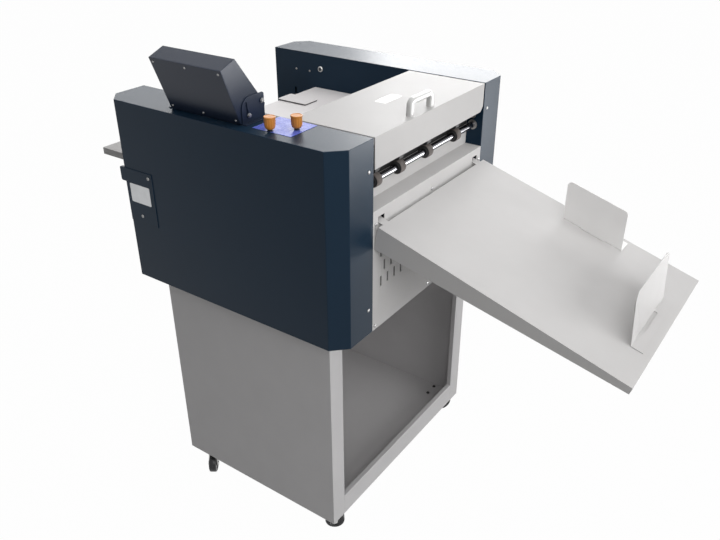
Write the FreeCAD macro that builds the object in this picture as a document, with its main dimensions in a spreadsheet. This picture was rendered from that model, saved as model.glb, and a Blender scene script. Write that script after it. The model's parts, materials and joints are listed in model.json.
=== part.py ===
"""Floor-standing paper creasing machine: cabinet on casters, feed table, creasing unit, delivery tray.

X runs with the paper towards the delivery tray, Y towards the drive side, Z up from the floor.
All sizes are in millimetres and angles in degrees.
"""
import FreeCAD, Part
import math
import os
import re
import Sketcher

SIZES = {
    # cabinet and casters
    "caster_height": 65,
    "cabinet_height": 554,
    "cabinet_depth": 501,
    "cabinet_side_inset": 31,
    "cabinet_forward": 17.5,
    "cabinet_sheet": 2,
    "post_width": 46,
    "post_return": 12,
    "rear_flange": 30,
    "top_flange": 30,
    "rail_height": 59,
    "caster_inset_x": 53,
    "caster_inset_y": 33,
    "caster_plate_length": 57,
    "caster_plate_width": 57,
    "caster_plate_sheet": 2.5,
    "caster_bolt_spacing_x": 38,
    "caster_bolt_spacing_y": 38,
    "caster_bolt_radius": 3,
    "caster_bolt_head": 5,
    "caster_bolt_head_height": 3,
    "caster_trail": 24,
    "wheel_radius": 25,
    "wheel_width": 20,
    "wheel_edge": 2.5,
    "wheel_play": 0.45,
    "axle_radius": 4,
    "axle_head": 6,
    "fork_sheet": 2,
    "crown_radius": 16,
    "crown_height": 4,
    "king_pin_radius": 5,
    "king_pin_head": 2,
    "front_left_heading": 38,
    "front_right_heading": 60,
    "rear_left_heading": -55,
    "rear_right_heading": 20,
    # housings and frames
    "housing_length": 646,
    "housing_height": 440,
    "machine_width": 696,
    "throat_width": 468,
    "corner_chamfer": 33.5,
    "housing_sheet": 2,
    "frame_sheet": 2,
    "pan_sheet": 2,
    # screws that show
    "screw_radius": 2,
    "screw_length": 8,
    "screw_head_radius": 4,
    "screw_head_height": 2,
    "front_screw_inset": 16.5,
    "front_screw_drop": 64,
    "front_screw_rise": 62.5,
    "panel_screw_side": 9,
    "panel_screw_drop": 30,
    "panel_screw_rise": 10,
    "wall_screw_back": 226,
    "wall_screw_spacing": 46,
    "wall_screw_drop": 49,
    # delivery end
    "bed_rise": 350,
    "shelf_drop": 65,
    "shelf_depth": 42,
    "front_sheet": 2,
    "guide_drop": 1,
    "guide_foot": 20,
    "vent_width": 6.2,
    "vent_height": 25,
    "vent_corner": 1.2,
    "vent_pitch": 13.2,
    "vent_row_pitch": 35.5,
    "vent_side": 31,
    "vent_rise": 100,
    "vent_columns": 7,
    "hook_hole_width": 25,
    "hook_hole_height": 14,
    "hook_hole_drop": 17,
    "hook_spacing": 408,
    # paper bed and pile
    "bed_sheet": 2,
    "bed_rear": 185,
    "plate_clearance": 0.8,
    "plate_rear": 188.7,
    "plate_length": 90.3,
    "plate_width": 52,
    "plate_side": 107.5,
    "plate_thickness": 4,
    "plate_corner": 3,
    "window_clearance": 1.5,
    # shafts and rollers
    "running_fit": 0.05,
    "motion_gap": 0.3,
    "drive_roller_radius": 15,
    "delivery_inset": 26.5,
    "delivery_shaft_radius": 7.5,
    "delivery_roller_width": 20,
    "delivery_roller_one": -192,
    "delivery_roller_two": -102,
    "delivery_roller_three": 12,
    "delivery_roller_four": 141,
    "roller_edge": 1,
    "pinch_radius": 8,
    "pinch_shaft_radius": 3,
    "pinch_width": 16,
    "infeed_forward": 150,
    "roller_shaft_radius": 6,
    "roller_length": 400,
    "feed_roller_back": 150,
    "feed_roller_width": 40,
    "bush_wall": 2.5,
    "bush_flange": 4.5,
    "bush_flange_sheet": 2,
    "shaft_reach": 6,
    "pulley_radius": 20,
    "pulley_width": 10,
    "inner_belt_offset": 12,
    "outer_belt_offset": 26,
    "belt_thickness": 1.5,
    "belt_width": 8,
    "motor_drop": 130,
    "motor_radius": 22,
    "drive_motor_clearance": 36.4,
    "lift_motor_radius": 18,
    "motor_shaft_radius": 4,
    "bracket_sheet": 3,
    "bracket_width": 46,
    # creasing unit
    "crease_forward": 220,
    "anvil_depth": 88,
    "anvil_height": 25,
    "anvil_drop": 1,
    "groove_width": 3,
    "groove_depth": 2,
    "beam_depth": 32,
    "beam_height": 30,
    "blade_height": 16,
    "blade_lift": 2,
    "blade_thickness": 2,
    "creasing_width": 400,
    "post_depth": 10,
    "post_side": 20,
    "post_spare": 3,
    "crease_shaft_radius": 8,
    "crease_throw": 1.5,
    "eccentric_radius": 9,
    "eye_wall": 3.7,
    "eye_web": 20,
    "strap_width": 12,
    "cam_overhang": 1,
    "strap_side": 190,
    "spring_radius": 5,
    "spring_wire": 1,
    "spring_side": 208,
    "crease_shaft_drop": 26,
    "gearbox_width": 56,
    "gearbox_reach": 44,
    "gearbox_gap": 2,
    "crease_motor_clearance": 22,
    # top cover and rear panel
    "cover_rear": 116,
    "cover_sheet": 2,
    "cover_side_gap": 5,
    "apron_height": 66,
    "apron_chamfer": 12,
    "cover_rear_flange": 32,
    "cover_side_flange": 14,
    "lug_length": 28,
    "lug_drop": 25,
    "hinge_inset": 14,
    "hinge_pin_radius": 3,
    "slot_height": 8,
    "rear_panel_drop": 37,
    "rear_panel_foot": 13,
    "handle_length": 95,
    "handle_rise": 37,
    "handle_thickness": 14,
    "handle_leg": 16,
    "handle_bar": 14,
    "handle_side": -37.5,
    "handle_inset": 16,
    "handle_corner": 7,
    "handle_window_corner": 4,
    # control screen
    "screen_length": 197,
    "screen_back": 32.5,
    "screen_foot_inset": 25.5,
    "screen_gap": 2,
    "screen_lean": 20.6,
    "screen_height": 123.5,
    "screen_depth": 42,
    "screen_chin_depth": 77.9,
    "screen_chin_rise": -1.5,
    "screen_base_depth": 62.9,
    "screen_base_rise": -21.5,
    "screen_sheet": 2,
    "screen_plate": 1.5,
    "screen_pivot_depth": 68.6,
    "screen_pivot_rise": 12.3,
    "screen_margin": 14,
    "glass_thickness": 2,
    "screen_bracket_sheet": 2,
    "screen_bracket_height": 54,
    "screen_bracket_rear": 28,
    "screen_bracket_front": 94,
    "screen_bracket_foot": 10,
    "screen_bracket_corner": 25,
    "screen_bracket_front_corner": 6,
    "screen_stud_radius": 3,
    "screen_stud_head": 5,
    "screen_slot_radius": 45,
    "screen_slot_start": 175,
    "screen_tilt": 33,
    # controls
    "panel_rear": 92,
    "panel_length": 98,
    "panel_width": 84,
    "panel_inset": 28,
    "panel_film": 0.6,
    "knob_one_forward": 135,
    "knob_one_inset": 33,
    "knob_two_forward": 172.5,
    "knob_two_inset": 69,
    "knob_radius": 12,
    "knob_base_radius": 10,
    "knob_rise": 8,
    "knob_height": 22,
    "knob_edge": 1.5,
    "knob_shaft_radius": 4,
    "knob_shaft_depth": 40,
    # rear service cover
    "service_rear": 289,
    "service_length": 90,
    "service_height": 131,
    "service_rise": 151,
    "service_sheet": 1.5,
    "service_grip_height": 34,
    "service_grip_length": 15,
    "service_grip_depth": 5,
    "service_grip_corner": 4,
    "service_screw_front": 11,
    "service_screw_top": 11,
    "service_screw_back": 49,
    "service_screw_foot": 18,
    # power inlet, switch and lock
    "inlet_inset": 58,
    "inlet_rise": 70,
    "inlet_width": 30,
    "inlet_height": 58,
    "inlet_depth": 28,
    "inlet_lip": 3,
    "socket_width": 24,
    "socket_height": 16,
    "socket_depth": 16,
    "contact_recess": 2,
    "contact_pitch": 7,
    "contact_stagger": 2,
    "contact_width": 4,
    "contact_thickness": 2,
    "socket_drop": 14,
    "switch_rise": 15,
    "switch_length": 18,
    "switch_width": 12,
    "switch_depth": 9,
    "switch_pin_length": 1.5,
    "switch_proud": 4,
    "switch_well": 2.4,
    "switch_pin_radius": 1.5,
    "lock_back": 166,
    "lock_drop": 39,
    "lock_ring_radius": 8,
    "lock_barrel_radius": 7,
    "lock_plug_radius": 5,
    "lock_ring_height": 2.5,
    "lock_depth": 16,
    "lock_slot": 1.2,
    "lock_slot_length": 7,
    # feed table and its lift
    "table_rear": 552,
    "table_width": 420,
    "table_thickness": 18,
    "table_sheet": 2,
    "table_rise": 234,
    "table_front_gap": 1,
    "lift_travel": 104,
    "lift_back": 255,
    "arm_thickness": 5,
    "arm_slot_clearance": 0.5,
    "arm_slot_end": 2,
    "carriage_offset": 12,
    "carriage_width": 24,
    "carriage_length": 34,
    "carriage_height": 50,
    "lift_rod_radius": 6,
    "rack_thickness": 6,
    "rack_width": 10,
    "rack_spare": 16,
    "lift_shaft_drop": 20,
    "lift_shaft_radius": 5,
    "pinion_radius": 14,
    # delivery tray
    "tray_slope": 16.96,
    "tray_sheet": 1.5,
    "tray_rear": 12.5,
    "tray_end": 577,
    "tray_width": 462,
    "tray_rear_depth": 51.7,
    "tray_rear_slant": 4.8,
    "tray_end_depth": 14.7,
    "hook_rest": 0.65,
    "hook_width": 22,
    "hook_length": 12,
    "hook_lip": 6,
    "guide_rear": 261,
    "guide_length": 147,
    "guide_height": 90,
    "guide_side": 172.5,
    "guide_foot_width": 44,
    "guide_corner": 10,
    "guide_slot_length": 43,
    "guide_slot_width": 5,
    "stop_forward": 534,
    "stop_foot": 26,
    "stop_width": 213,
    "stop_side": -17.5,
    "stop_height": 112,
    "stop_lean": 4,
    "stop_corner": 20,
    "stop_slot_length": 86,
    "stop_fold_inset": 0.375,
    # circuit board and power supply
    "board_rear": 180,
    "board_length": 240,
    "board_height": 160,
    "board_rise": 94,
    "board_thickness": 1.6,
    "board_standoff": 12,
    "standoff_radius": 4,
    "standoff_inset": 8,
    "supply_length": 160,
    "supply_clearance": 12,
    "supply_height": 50,
    "supply_rear": 140,
    "supply_gap": 8,
}

# Levels and planes that many pieces share, each worked out from the sizes.
DECK = "(caster_height + cabinet_height)"
TOP = f"({DECK} + housing_height)"
BED = f"({DECK} + bed_rise)"
SHELF = f"({BED} - shelf_drop)"
FRONT = "(housing_length / 2)"
SIDE = "(machine_width / 2)"
WALL = "(throat_width / 2)"
FRAME = f"({WALL} + frame_sheet)"
HOUSING_WALL = f"(housing_sheet - {SIDE})"
CABINET_FRONT = "(cabinet_forward + cabinet_depth / 2)"
CABINET_REAR = "(cabinet_forward - cabinet_depth / 2)"
CABINET_SIDE = f"({SIDE} - cabinet_side_inset)"
CABINET_FLOOR = "(caster_height + cabinet_sheet)"
ROLLER_LEVEL = f"({BED} - drive_roller_radius)"
PINCH_LEVEL = f"({BED} + pinch_radius + motion_gap)"
DELIVERY = f"({FRONT} - delivery_inset)"
ANVIL_TOP = f"({BED} - anvil_drop)"
BEAM_FOOT = f"({BED} + blade_lift + blade_height)"
BEAM_TOP = f"({BEAM_FOOT} + beam_height)"
CREASE_LEVEL = f"({TOP} - crease_shaft_drop)"
MOTOR_LEVEL = f"({ROLLER_LEVEL} - motor_drop)"
HINGE_X = "(cover_rear + hinge_inset)"
HINGE_Z = f"({TOP} - hinge_inset)"
COVER_SIDE = f"({WALL} - cover_side_gap)"
HOOK_FOOT = f"({SHELF} - hook_hole_drop - hook_hole_height)"
HOOK_X = f"({FRONT} - front_sheet / 2)"
HOOK_Z = f"({HOOK_FOOT} + hook_rest + tray_sheet)"
TABLE_TOP = f"({DECK} + table_rise)"
TABLE_FOOT = f"({TABLE_TOP} - table_thickness)"
LIFT_LEVEL = f"({TABLE_FOOT} - lift_shaft_drop)"
RACK_FACE = "(carriage_length / 2 - lift_back + rack_thickness)"
LIFT_SHAFT_X = f"({RACK_FACE} + pinion_radius + motion_gap)"
INNER_BELT = f"({WALL} + inner_belt_offset)"
OUTER_BELT = f"({WALL} + outer_belt_offset)"
SCREEN_FOOT_Y = f"(screen_foot_inset - {SIDE})"
SCREEN_FOOT_Z = f"({TOP} + screen_gap)"
LEAN_COS, LEAN_SIN = "cos(screen_lean)", "sin(screen_lean)"
PIVOT_Y = f"({SCREEN_FOOT_Y} + screen_pivot_depth * {LEAN_COS} - screen_pivot_rise * {LEAN_SIN})"
PIVOT_Z = f"({SCREEN_FOOT_Z} + screen_pivot_depth * {LEAN_SIN} + screen_pivot_rise * {LEAN_COS})"

# The origin lies on the floor below the middle of the whole machine.
TRAY_TIP = f"({HOOK_X} + tray_end * cos(tray_slope) + tray_sheet / 2 * sin(tray_slope))"
SCREEN_REACH = f"(screen_height * sin(screen_lean) - {SCREEN_FOOT_Y} + screen_plate * cos(screen_lean))"
MIDDLE_X = f"(({TRAY_TIP} - table_rear) / 2)"
MIDDLE_Y = f"(({SIDE} - {SCREEN_REACH}) / 2)"

SIDES = (("left", -1), ("right", 1))
ALONG_X = FreeCAD.Rotation(FreeCAD.Vector(0, 1, 0), 90)
ALONG_Y = FreeCAD.Rotation(FreeCAD.Vector(1, 0, 0), -90)
UPRIGHT = FreeCAD.Rotation()
NORMAL_SIGN = {"XY_Plane": 1, "XZ_Plane": -1, "YZ_Plane": 1}

doc = FreeCAD.newDocument("PaperCreaser")
sheet = doc.addObject("Spreadsheet::Sheet", "Sizes")
for row, (alias, value) in enumerate(SIZES.items(), start=1):
    sheet.set(f"A{row}", alias)
    sheet.set(f"B{row}", str(value))
    sheet.setAlias(f"B{row}", alias)
doc.recompute()
nodes = []


# Helpers that draw in the sizes' own names

def spelled(expression):
    """Point each size's name in an expression at its cell of the sheet."""
    def cell(word):
        return f"Sizes.{word[0]}" if word[0] in SIZES else word[0]

    return re.sub(r"[a-z]\w*", cell, str(expression))


def bind(item, **expressions):
    for name, expression in expressions.items():
        item.setExpression(name, spelled(expression))


def move(item, x="0", y="0", z="0"):
    for axis, expression in (("x", x), ("y", y), ("z", z)):
        item.setExpression(f"Placement.Base.{axis}", spelled(expression))
    return item


def turn(item, axis, angle):
    """Turn an item about an axis through its own origin by an angle that follows the sheet."""
    item.Placement.Rotation = FreeCAD.Rotation(FreeCAD.Vector(*axis), 1)
    item.setExpression("Placement.Rotation.Angle", spelled(angle))
    return item


def box(x, y, z):
    """A block between two faces along each axis, each pair given as (low, high)."""
    block = doc.addObject("Part::Box", "Block")
    for side, (low, high) in zip(("Length", "Width", "Height"), (x, y, z)):
        block.setExpression(side, spelled(f"({high}) - ({low})"))
    return move(block, x[0], y[0], z[0])


def rod(axis, centre, radius, span):
    """A cylinder along one axis; centre is its place on the other two, span its two ends."""
    cylinder = doc.addObject("Part::Cylinder", "Rod")
    bind(cylinder, Radius=radius, Height=f"({span[1]}) - ({span[0]})")
    cylinder.Placement.Rotation = {"x": ALONG_X, "y": ALONG_Y, "z": UPRIGHT}[axis]
    base = list(centre)
    base.insert("xyz".index(axis), span[0])
    return move(cylinder, *base)


def fuse(*shapes):
    joined = doc.addObject("Part::MultiFuse", "Joined")
    joined.Shapes = list(shapes)
    joined.Refine = True
    return joined


def group(*shapes):
    """Pieces that stay separate solids of one node."""
    bundle = doc.addObject("Part::Compound", "Group")
    bundle.Links = list(shapes)
    return bundle


def cut(base, *tools):
    trimmed = doc.addObject("Part::Cut", "Trimmed")
    trimmed.Base = base
    trimmed.Tool = tools[0] if len(tools) == 1 else group(*tools)
    return trimmed


def pipe(axis, centre, radius, bore, span):
    return cut(rod(axis, centre, radius, span), rod(axis, centre, bore, span))


def new_body():
    return doc.addObject("PartDesign::Body", "Body")


def outline(body, plane, points, offset):
    """A closed sketch through the points, each corner held at its distances from the origin."""
    drawing = body.newObject("Sketcher::SketchObject", "Outline")
    base = [feature for feature in body.Origin.OriginFeatures if feature.Role == plane][0]
    drawing.AttachmentSupport = [(base, "")]
    drawing.MapMode = "FlatFace"
    drawing.setExpression("AttachmentOffset.Base.z", spelled(offset))
    count = len(points)
    steps = [2 * math.pi * step / count for step in range(count + 1)]
    starts = [FreeCAD.Vector(math.cos(step), math.sin(step), 0) for step in steps]
    for line in range(count):
        drawing.addGeometry(Part.LineSegment(starts[line], starts[line + 1]), False)
    for line in range(count):
        drawing.addConstraint(Sketcher.Constraint("Coincident", line, 2, (line + 1) % count, 1))
    for line, place in enumerate(points):
        for kind, start, distance in zip(("DistanceX", "DistanceY"), starts[line], place):
            number = drawing.addConstraint(Sketcher.Constraint(kind, -1, 1, line, 1, start))
            drawing.setExpression(f"Constraints[{number}]", spelled(distance))
    return drawing


def extrude(body, kind, plane, points, low, high):
    """Pad or pocket an outline between two levels along the normal axis of its plane."""
    up = NORMAL_SIGN[plane] > 0
    if kind == "Pad":
        offset = low if up else f"-({high})"
    else:
        offset = high if up else f"-({low})"
    before = 0 if kind == "Pad" else body.Shape.Volume
    feature = body.newObject(f"PartDesign::{kind}", kind)
    feature.Profile = outline(body, plane, points, offset)
    bind(feature, Length=f"({high}) - ({low})")
    body.Tip = feature
    doc.recompute()
    if kind == "Pocket" and body.Shape.Volume >= before:
        raise RuntimeError("a pocket removed nothing")
    return feature


def pad(body, plane, points, low, high):
    return extrude(body, "Pad", plane, points, low, high)


def pocket(body, plane, points, low, high):
    return extrude(body, "Pocket", plane, points, low, high)


def rectangle(across, up):
    return [(across[0], up[0]), (across[1], up[0]), (across[1], up[1]), (across[0], up[1])]


def rounded(body, radius, picked):
    """Round the edges of a body that the picked function accepts."""
    base = body.Tip
    names = [f"Edge{number}" for number, edge in enumerate(base.Shape.Edges, start=1) if picked(edge)]
    feature = body.newObject("PartDesign::Fillet", "Rounded")
    feature.Base = (base, names)
    bind(feature, Radius=radius)
    body.Tip = feature
    doc.recompute()


def runs_along(edge, axis):
    """Whether an edge is straight and parallel to an axis."""
    if len(edge.Vertexes) != 2:
        return False
    step = edge.Vertexes[1].Point - edge.Vertexes[0].Point
    return abs(abs(step.normalize().dot(FreeCAD.Vector(*axis))) - 1) < 1e-6


def turned(profile):
    """Revolve an outline of (radius, height) points about the body's own Z axis."""
    body = new_body()
    feature = body.newObject("PartDesign::Revolution", "Turned")
    drawing = outline(body, "XZ_Plane", profile, "0")
    feature.Profile = drawing
    feature.ReferenceAxis = (drawing, ["V_Axis"])
    feature.Angle = 360
    body.Tip = feature
    doc.recompute()
    return body


def stepped(*steps):
    """Outline of a stepped solid shaft from (radius, low, high) steps in order."""
    points = [("0", steps[0][1])]
    for radius, low, high in steps:
        points += [(radius, low), (radius, high)]
    return points + [("0", steps[-1][2])]


def node(item, name, x="0", y="0", z="0"):
    """Name a finished piece and set it in the machine's frame."""
    item.Label = name
    move(item, f"({x}) - {MIDDLE_X}", f"({y}) - {MIDDLE_Y}", z)
    nodes.append(item)
    return item


def turned_node(profile, name, x, z, y="0"):
    """A turned piece whose own Z axis runs along Y."""
    body = turned(profile)
    body.Placement.Rotation = ALONG_Y
    return node(body, name, x, y, z)


# Screws

def screw(axis, centre, face, outward):
    """A button-head screw whose head sits on a face and points outward (+1 or -1)."""
    head = (face, f"{face} + screw_head_height") if outward > 0 else (f"{face} - screw_head_height", face)
    shank = (f"{face} - screw_length", face) if outward > 0 else (face, f"{face} + screw_length")
    return fuse(rod(axis, centre, "screw_head_radius", head), rod(axis, centre, "screw_radius", shank))


def screw_hole(axis, centre, face, outward):
    shank = (f"{face} - screw_length", face) if outward > 0 else (face, f"{face} + screw_length")
    return rod(axis, centre, "screw_radius + running_fit", shank)


def housing_screws(sign):
    side = f"{sign} * ({WALL} + front_screw_inset)"
    return [(side, f"{TOP} - front_screw_drop"), (side, f"{DECK} + front_screw_rise")]


PANEL_EDGE = f"({WALL} - panel_screw_side)"
PANEL_SCREWS = [
    (f"-{PANEL_EDGE}", f"{SHELF} - panel_screw_drop"),
    ("0", f"{SHELF} - panel_screw_drop"),
    (PANEL_EDGE, f"{SHELF} - panel_screw_drop"),
    (f"-{PANEL_EDGE}", f"{DECK} + panel_screw_rise"),
    ("0", f"{DECK} + panel_screw_rise"),
    (PANEL_EDGE, f"{DECK} + panel_screw_rise"),
]
WALL_SCREWS = [
    (f"{offset} - wall_screw_back", f"{TOP} - wall_screw_drop")
    for offset in ("wall_screw_spacing / 2", "-wall_screw_spacing / 2")
]
SERVICE_SCREWS = [
    ("service_length - service_rear - service_screw_front",
     f"{DECK} + service_rise + service_height - service_screw_top"),
    ("service_length - service_rear - service_screw_back", f"{DECK} + service_rise + service_screw_foot"),
]
SERVICE_FACE = f"(-{SIDE} - service_sheet)"

# Shafts that run in bushes in both side frames: place along X, level, radius
SHAFTS = [
    (DELIVERY, ROLLER_LEVEL, "delivery_shaft_radius"),
    (DELIVERY, PINCH_LEVEL, "pinch_shaft_radius"),
    ("infeed_forward", ROLLER_LEVEL, "roller_shaft_radius"),
    ("infeed_forward", PINCH_LEVEL, "pinch_shaft_radius"),
    ("-feed_roller_back", ROLLER_LEVEL, "roller_shaft_radius"),
    ("crease_forward", CREASE_LEVEL, "crease_shaft_radius"),
    (LIFT_SHAFT_X, LIFT_LEVEL, "lift_shaft_radius"),
]


# Cabinet

def cabinet_side_panel(name, sign):
    """Side sheet folded round the front post and a rear flange, with a flange under the machine."""
    outer = f"{sign} * {CABINET_SIDE}"
    inner = f"{sign} * ({CABINET_SIDE} - cabinet_sheet)"
    post = f"{sign} * ({CABINET_SIDE} - post_width)"
    post_inner = f"{sign} * ({CABINET_SIDE} - post_width + cabinet_sheet)"
    flange = f"{sign} * ({CABINET_SIDE} - rear_flange)"
    body = new_body()
    pad(body, "XY_Plane", [
        (CABINET_REAR, outer),
        (CABINET_FRONT, outer),
        (CABINET_FRONT, post),
        (f"{CABINET_FRONT} - post_return", post),
        (f"{CABINET_FRONT} - post_return", post_inner),
        (f"{CABINET_FRONT} - cabinet_sheet", post_inner),
        (f"{CABINET_FRONT} - cabinet_sheet", inner),
        (f"{CABINET_REAR} + cabinet_sheet", inner),
        (f"{CABINET_REAR} + cabinet_sheet", flange),
        (CABINET_REAR, flange),
    ], CABINET_FLOOR, DECK)
    top = rectangle((f"{CABINET_REAR} + cabinet_sheet", f"{CABINET_FRONT} - post_return"),
                    (inner, f"{sign} * ({CABINET_SIDE} - top_flange)"))
    pad(body, "XY_Plane", top, f"{DECK} - cabinet_sheet", DECK)
    node(body, name)


def caster_places():
    """Name, place along X and Y, and heading of each caster."""
    ends = (("front", f"({CABINET_FRONT} - caster_inset_x)"), ("rear", f"({CABINET_REAR} + caster_inset_x)"))
    for end, along in ends:
        for side, sign in SIDES:
            across = f"({sign} * ({CABINET_SIDE} - caster_inset_y))"
            yield f"{end}_{side}", along, across, f"{end}_{side}_heading"


def bolt_places(x, y):
    for along in (-1, 1):
        for across in (-1, 1):
            yield (f"{x} + {along} * caster_bolt_spacing_x / 2",
                   f"{y} + {across} * caster_bolt_spacing_y / 2")


def caster_bolt_tools(radius, span):
    return [rod("z", place, radius, span)
            for _, x, y, _ in caster_places() for place in bolt_places(x, y)]


def cabinet_floor():
    """Floor pan with the front rail between the posts."""
    rail_side = f"({CABINET_SIDE} - post_width)"
    rail_top = "(caster_height + rail_height)"
    pan = fuse(
        box((CABINET_REAR, CABINET_FRONT), (f"-{CABINET_SIDE}", CABINET_SIDE),
            ("caster_height", CABINET_FLOOR)),
        box((f"{CABINET_FRONT} - cabinet_sheet", CABINET_FRONT), (f"-{rail_side}", rail_side),
            ("caster_height", rail_top)),
        box((f"{CABINET_FRONT} - post_return", CABINET_FRONT), (f"-{rail_side}", rail_side),
            (f"{rail_top} - cabinet_sheet", rail_top)),
    )
    holes = caster_bolt_tools("caster_bolt_radius + running_fit", ("caster_height", CABINET_FLOOR))
    node(cut(pan, *holes), "cabinet_floor")


def cabinet_back_panel():
    inner_side = f"({CABINET_SIDE} - cabinet_sheet)"
    panel = box((f"{CABINET_REAR} + cabinet_sheet", f"{CABINET_REAR} + 2 * cabinet_sheet"),
                (f"-{inner_side}", inner_side), (CABINET_FLOOR, f"{DECK} - cabinet_sheet"))
    node(group(panel), "cabinet_back_panel")


# Casters

PLATE_FOOT = "(caster_height - caster_plate_sheet)"
CROWN_TOP = f"({PLATE_FOOT} - motion_gap)"
CROWN_FOOT = f"({CROWN_TOP} - crown_height)"
PIN_FOOT = f"({CROWN_FOOT} - motion_gap)"
CHEEK = "(wheel_width / 2 + wheel_play)"


def caster_plates():
    """Mounting plates with their king pins, bolts and nuts."""
    pieces = []
    bolt = ("caster_bolt_radius", "caster_bolt_head", "caster_bolt_head_height")
    for _, x, y, _ in caster_places():
        plate = fuse(
            box((f"{x} - caster_plate_length / 2", f"{x} + caster_plate_length / 2"),
                (f"{y} - caster_plate_width / 2", f"{y} + caster_plate_width / 2"),
                (PLATE_FOOT, "caster_height")),
            rod("z", (x, y), "king_pin_radius", (PIN_FOOT, PLATE_FOOT)),
            rod("z", (x, y), "king_pin_radius + king_pin_head", (f"{PIN_FOOT} - king_pin_head", PIN_FOOT)),
        )
        holes = [rod("z", place, f"{bolt[0]} + running_fit", (PLATE_FOOT, "caster_height"))
                 for place in bolt_places(x, y)]
        pieces.append(cut(plate, *holes))
        for place in bolt_places(x, y):
            pieces.append(fuse(
                rod("z", place, bolt[1], (f"{PLATE_FOOT} - {bolt[2]}", PLATE_FOOT)),
                rod("z", place, bolt[0], (PLATE_FOOT, CABINET_FLOOR)),
                rod("z", place, bolt[1], (CABINET_FLOOR, f"{CABINET_FLOOR} + {bolt[2]}")),
            ))
    node(group(*pieces), "caster_plates")


def caster_fork(name, x, y, heading):
    """Swivel fork with its crown round the king pin and the wheel's axle."""
    axle = ("caster_trail", "wheel_radius")
    cheeks = []
    for sign in (-1, 1):
        body = new_body()
        near, far = f"{sign} * {CHEEK}", f"{sign} * ({CHEEK} + fork_sheet)"
        pad(body, "XZ_Plane", [
            ("-crown_radius + 2 * fork_sheet", CROWN_TOP),
            ("crown_radius - 2 * fork_sheet", CROWN_TOP),
            ("caster_trail + axle_head + fork_sheet", "wheel_radius + axle_head"),
            ("caster_trail + axle_head", "wheel_radius - axle_head"),
            ("caster_trail - axle_head", "wheel_radius - axle_head"),
            ("-crown_radius + 2 * fork_sheet", f"{CROWN_FOOT} - crown_height"),
        ], *(near, far)[::sign])
        cheeks.append(body)
    crown = rod("z", ("0", "0"), "crown_radius", (CROWN_FOOT, CROWN_TOP))
    shank = rod("y", axle, "axle_radius", (f"-{CHEEK}", CHEEK))
    heads = []
    for sign in (-1, 1):
        span = (f"{sign} * ({CHEEK} + fork_sheet)", f"{sign} * ({CHEEK} + 2 * fork_sheet)")
        heads.append(rod("y", axle, "axle_head", span[::sign]))
    fork = cut(fuse(crown, shank, *cheeks, *heads),
               rod("z", ("0", "0"), "king_pin_radius + running_fit", (CROWN_FOOT, CROWN_TOP)))
    turn(fork, (0, 0, 1), heading)
    node(fork, f"{name}_caster_fork", x, y)


def caster_wheel(name, x, y, heading):
    """Tyred wheel that runs on the axle."""
    half = "wheel_width / 2"
    body = turned([
        ("axle_radius + running_fit", f"-{half}"),
        ("wheel_radius - wheel_edge", f"-{half}"),
        ("wheel_radius", f"wheel_edge - {half}"),
        ("wheel_radius", f"{half} - wheel_edge"),
        ("wheel_radius - wheel_edge", half),
        ("axle_radius + running_fit", half),
    ])
    body.Placement.Rotation = FreeCAD.Rotation(FreeCAD.Vector(0, 0, 1), sheet.get(heading)) * ALONG_Y
    node(body, f"{name}_caster_wheel", f"{x} + caster_trail * cos({heading})",
         f"{y} + caster_trail * sin({heading})", "wheel_radius")


# Housings and frames

def housing_outline(sign, inset, open_side):
    """Half of the machine's outline with both outer corners chamfered, set in by a wall."""
    end = f"({FRONT} - {inset})"
    side = f"({SIDE} - {inset})"
    corner = f"(corner_chamfer + {inset} * (sqrt(2) - 1) - {inset})"
    return [
        (f"-{end}", f"{sign} * {open_side}"),
        (f"-{end}", f"{sign} * ({side} - {corner})"),
        (f"{corner} - {end}", f"{sign} * {side}"),
        (f"{end} - {corner}", f"{sign} * {side}"),
        (end, f"{sign} * ({side} - {corner})"),
        (end, f"{sign} * {open_side}"),
    ]


def base_pan():
    """Bottom pan that carries the frames, inside the lower edges of both housings."""
    left = housing_outline(-1, "housing_sheet", WALL)
    right = housing_outline(1, "housing_sheet", WALL)
    body = new_body()
    pad(body, "XY_Plane", left + right[::-1], DECK, f"{DECK} + pan_sheet")
    node(body, "base_pan")


def housing_shell(sign):
    """Cover folded from one sheet: top, outer side, both ends and the chamfered corners."""
    body = new_body()
    pad(body, "XY_Plane", housing_outline(sign, "0", WALL), DECK, TOP)
    inside = housing_outline(sign, "housing_sheet", f"({WALL} - housing_sheet)")
    pocket(body, "XY_Plane", inside, DECK, f"{TOP} - housing_sheet")
    return body


def knob_places():
    return [(f"knob_{count}_forward", f"knob_{count}_inset - {SIDE}") for count in ("one", "two")]


def left_housing():
    tools = [screw_hole("x", place, FRONT, 1) for place in housing_screws(-1)]
    tools += [screw_hole("y", place, f"-{SIDE}", -1) for place in SERVICE_SCREWS]
    tools += [rod("z", place, "knob_shaft_radius + running_fit", (f"{TOP} - housing_sheet", TOP))
              for place in knob_places()]
    wall = (f"-{FRONT}", f"housing_sheet - {FRONT}")
    tools.append(inlet_block("inlet_width / 2", "inlet_height / 2", wall))
    node(cut(housing_shell(-1), *tools), "left_housing")


def right_housing():
    holes = [screw_hole("x", place, FRONT, 1) for place in housing_screws(1)]
    node(cut(housing_shell(1), *holes), "right_housing")


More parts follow.
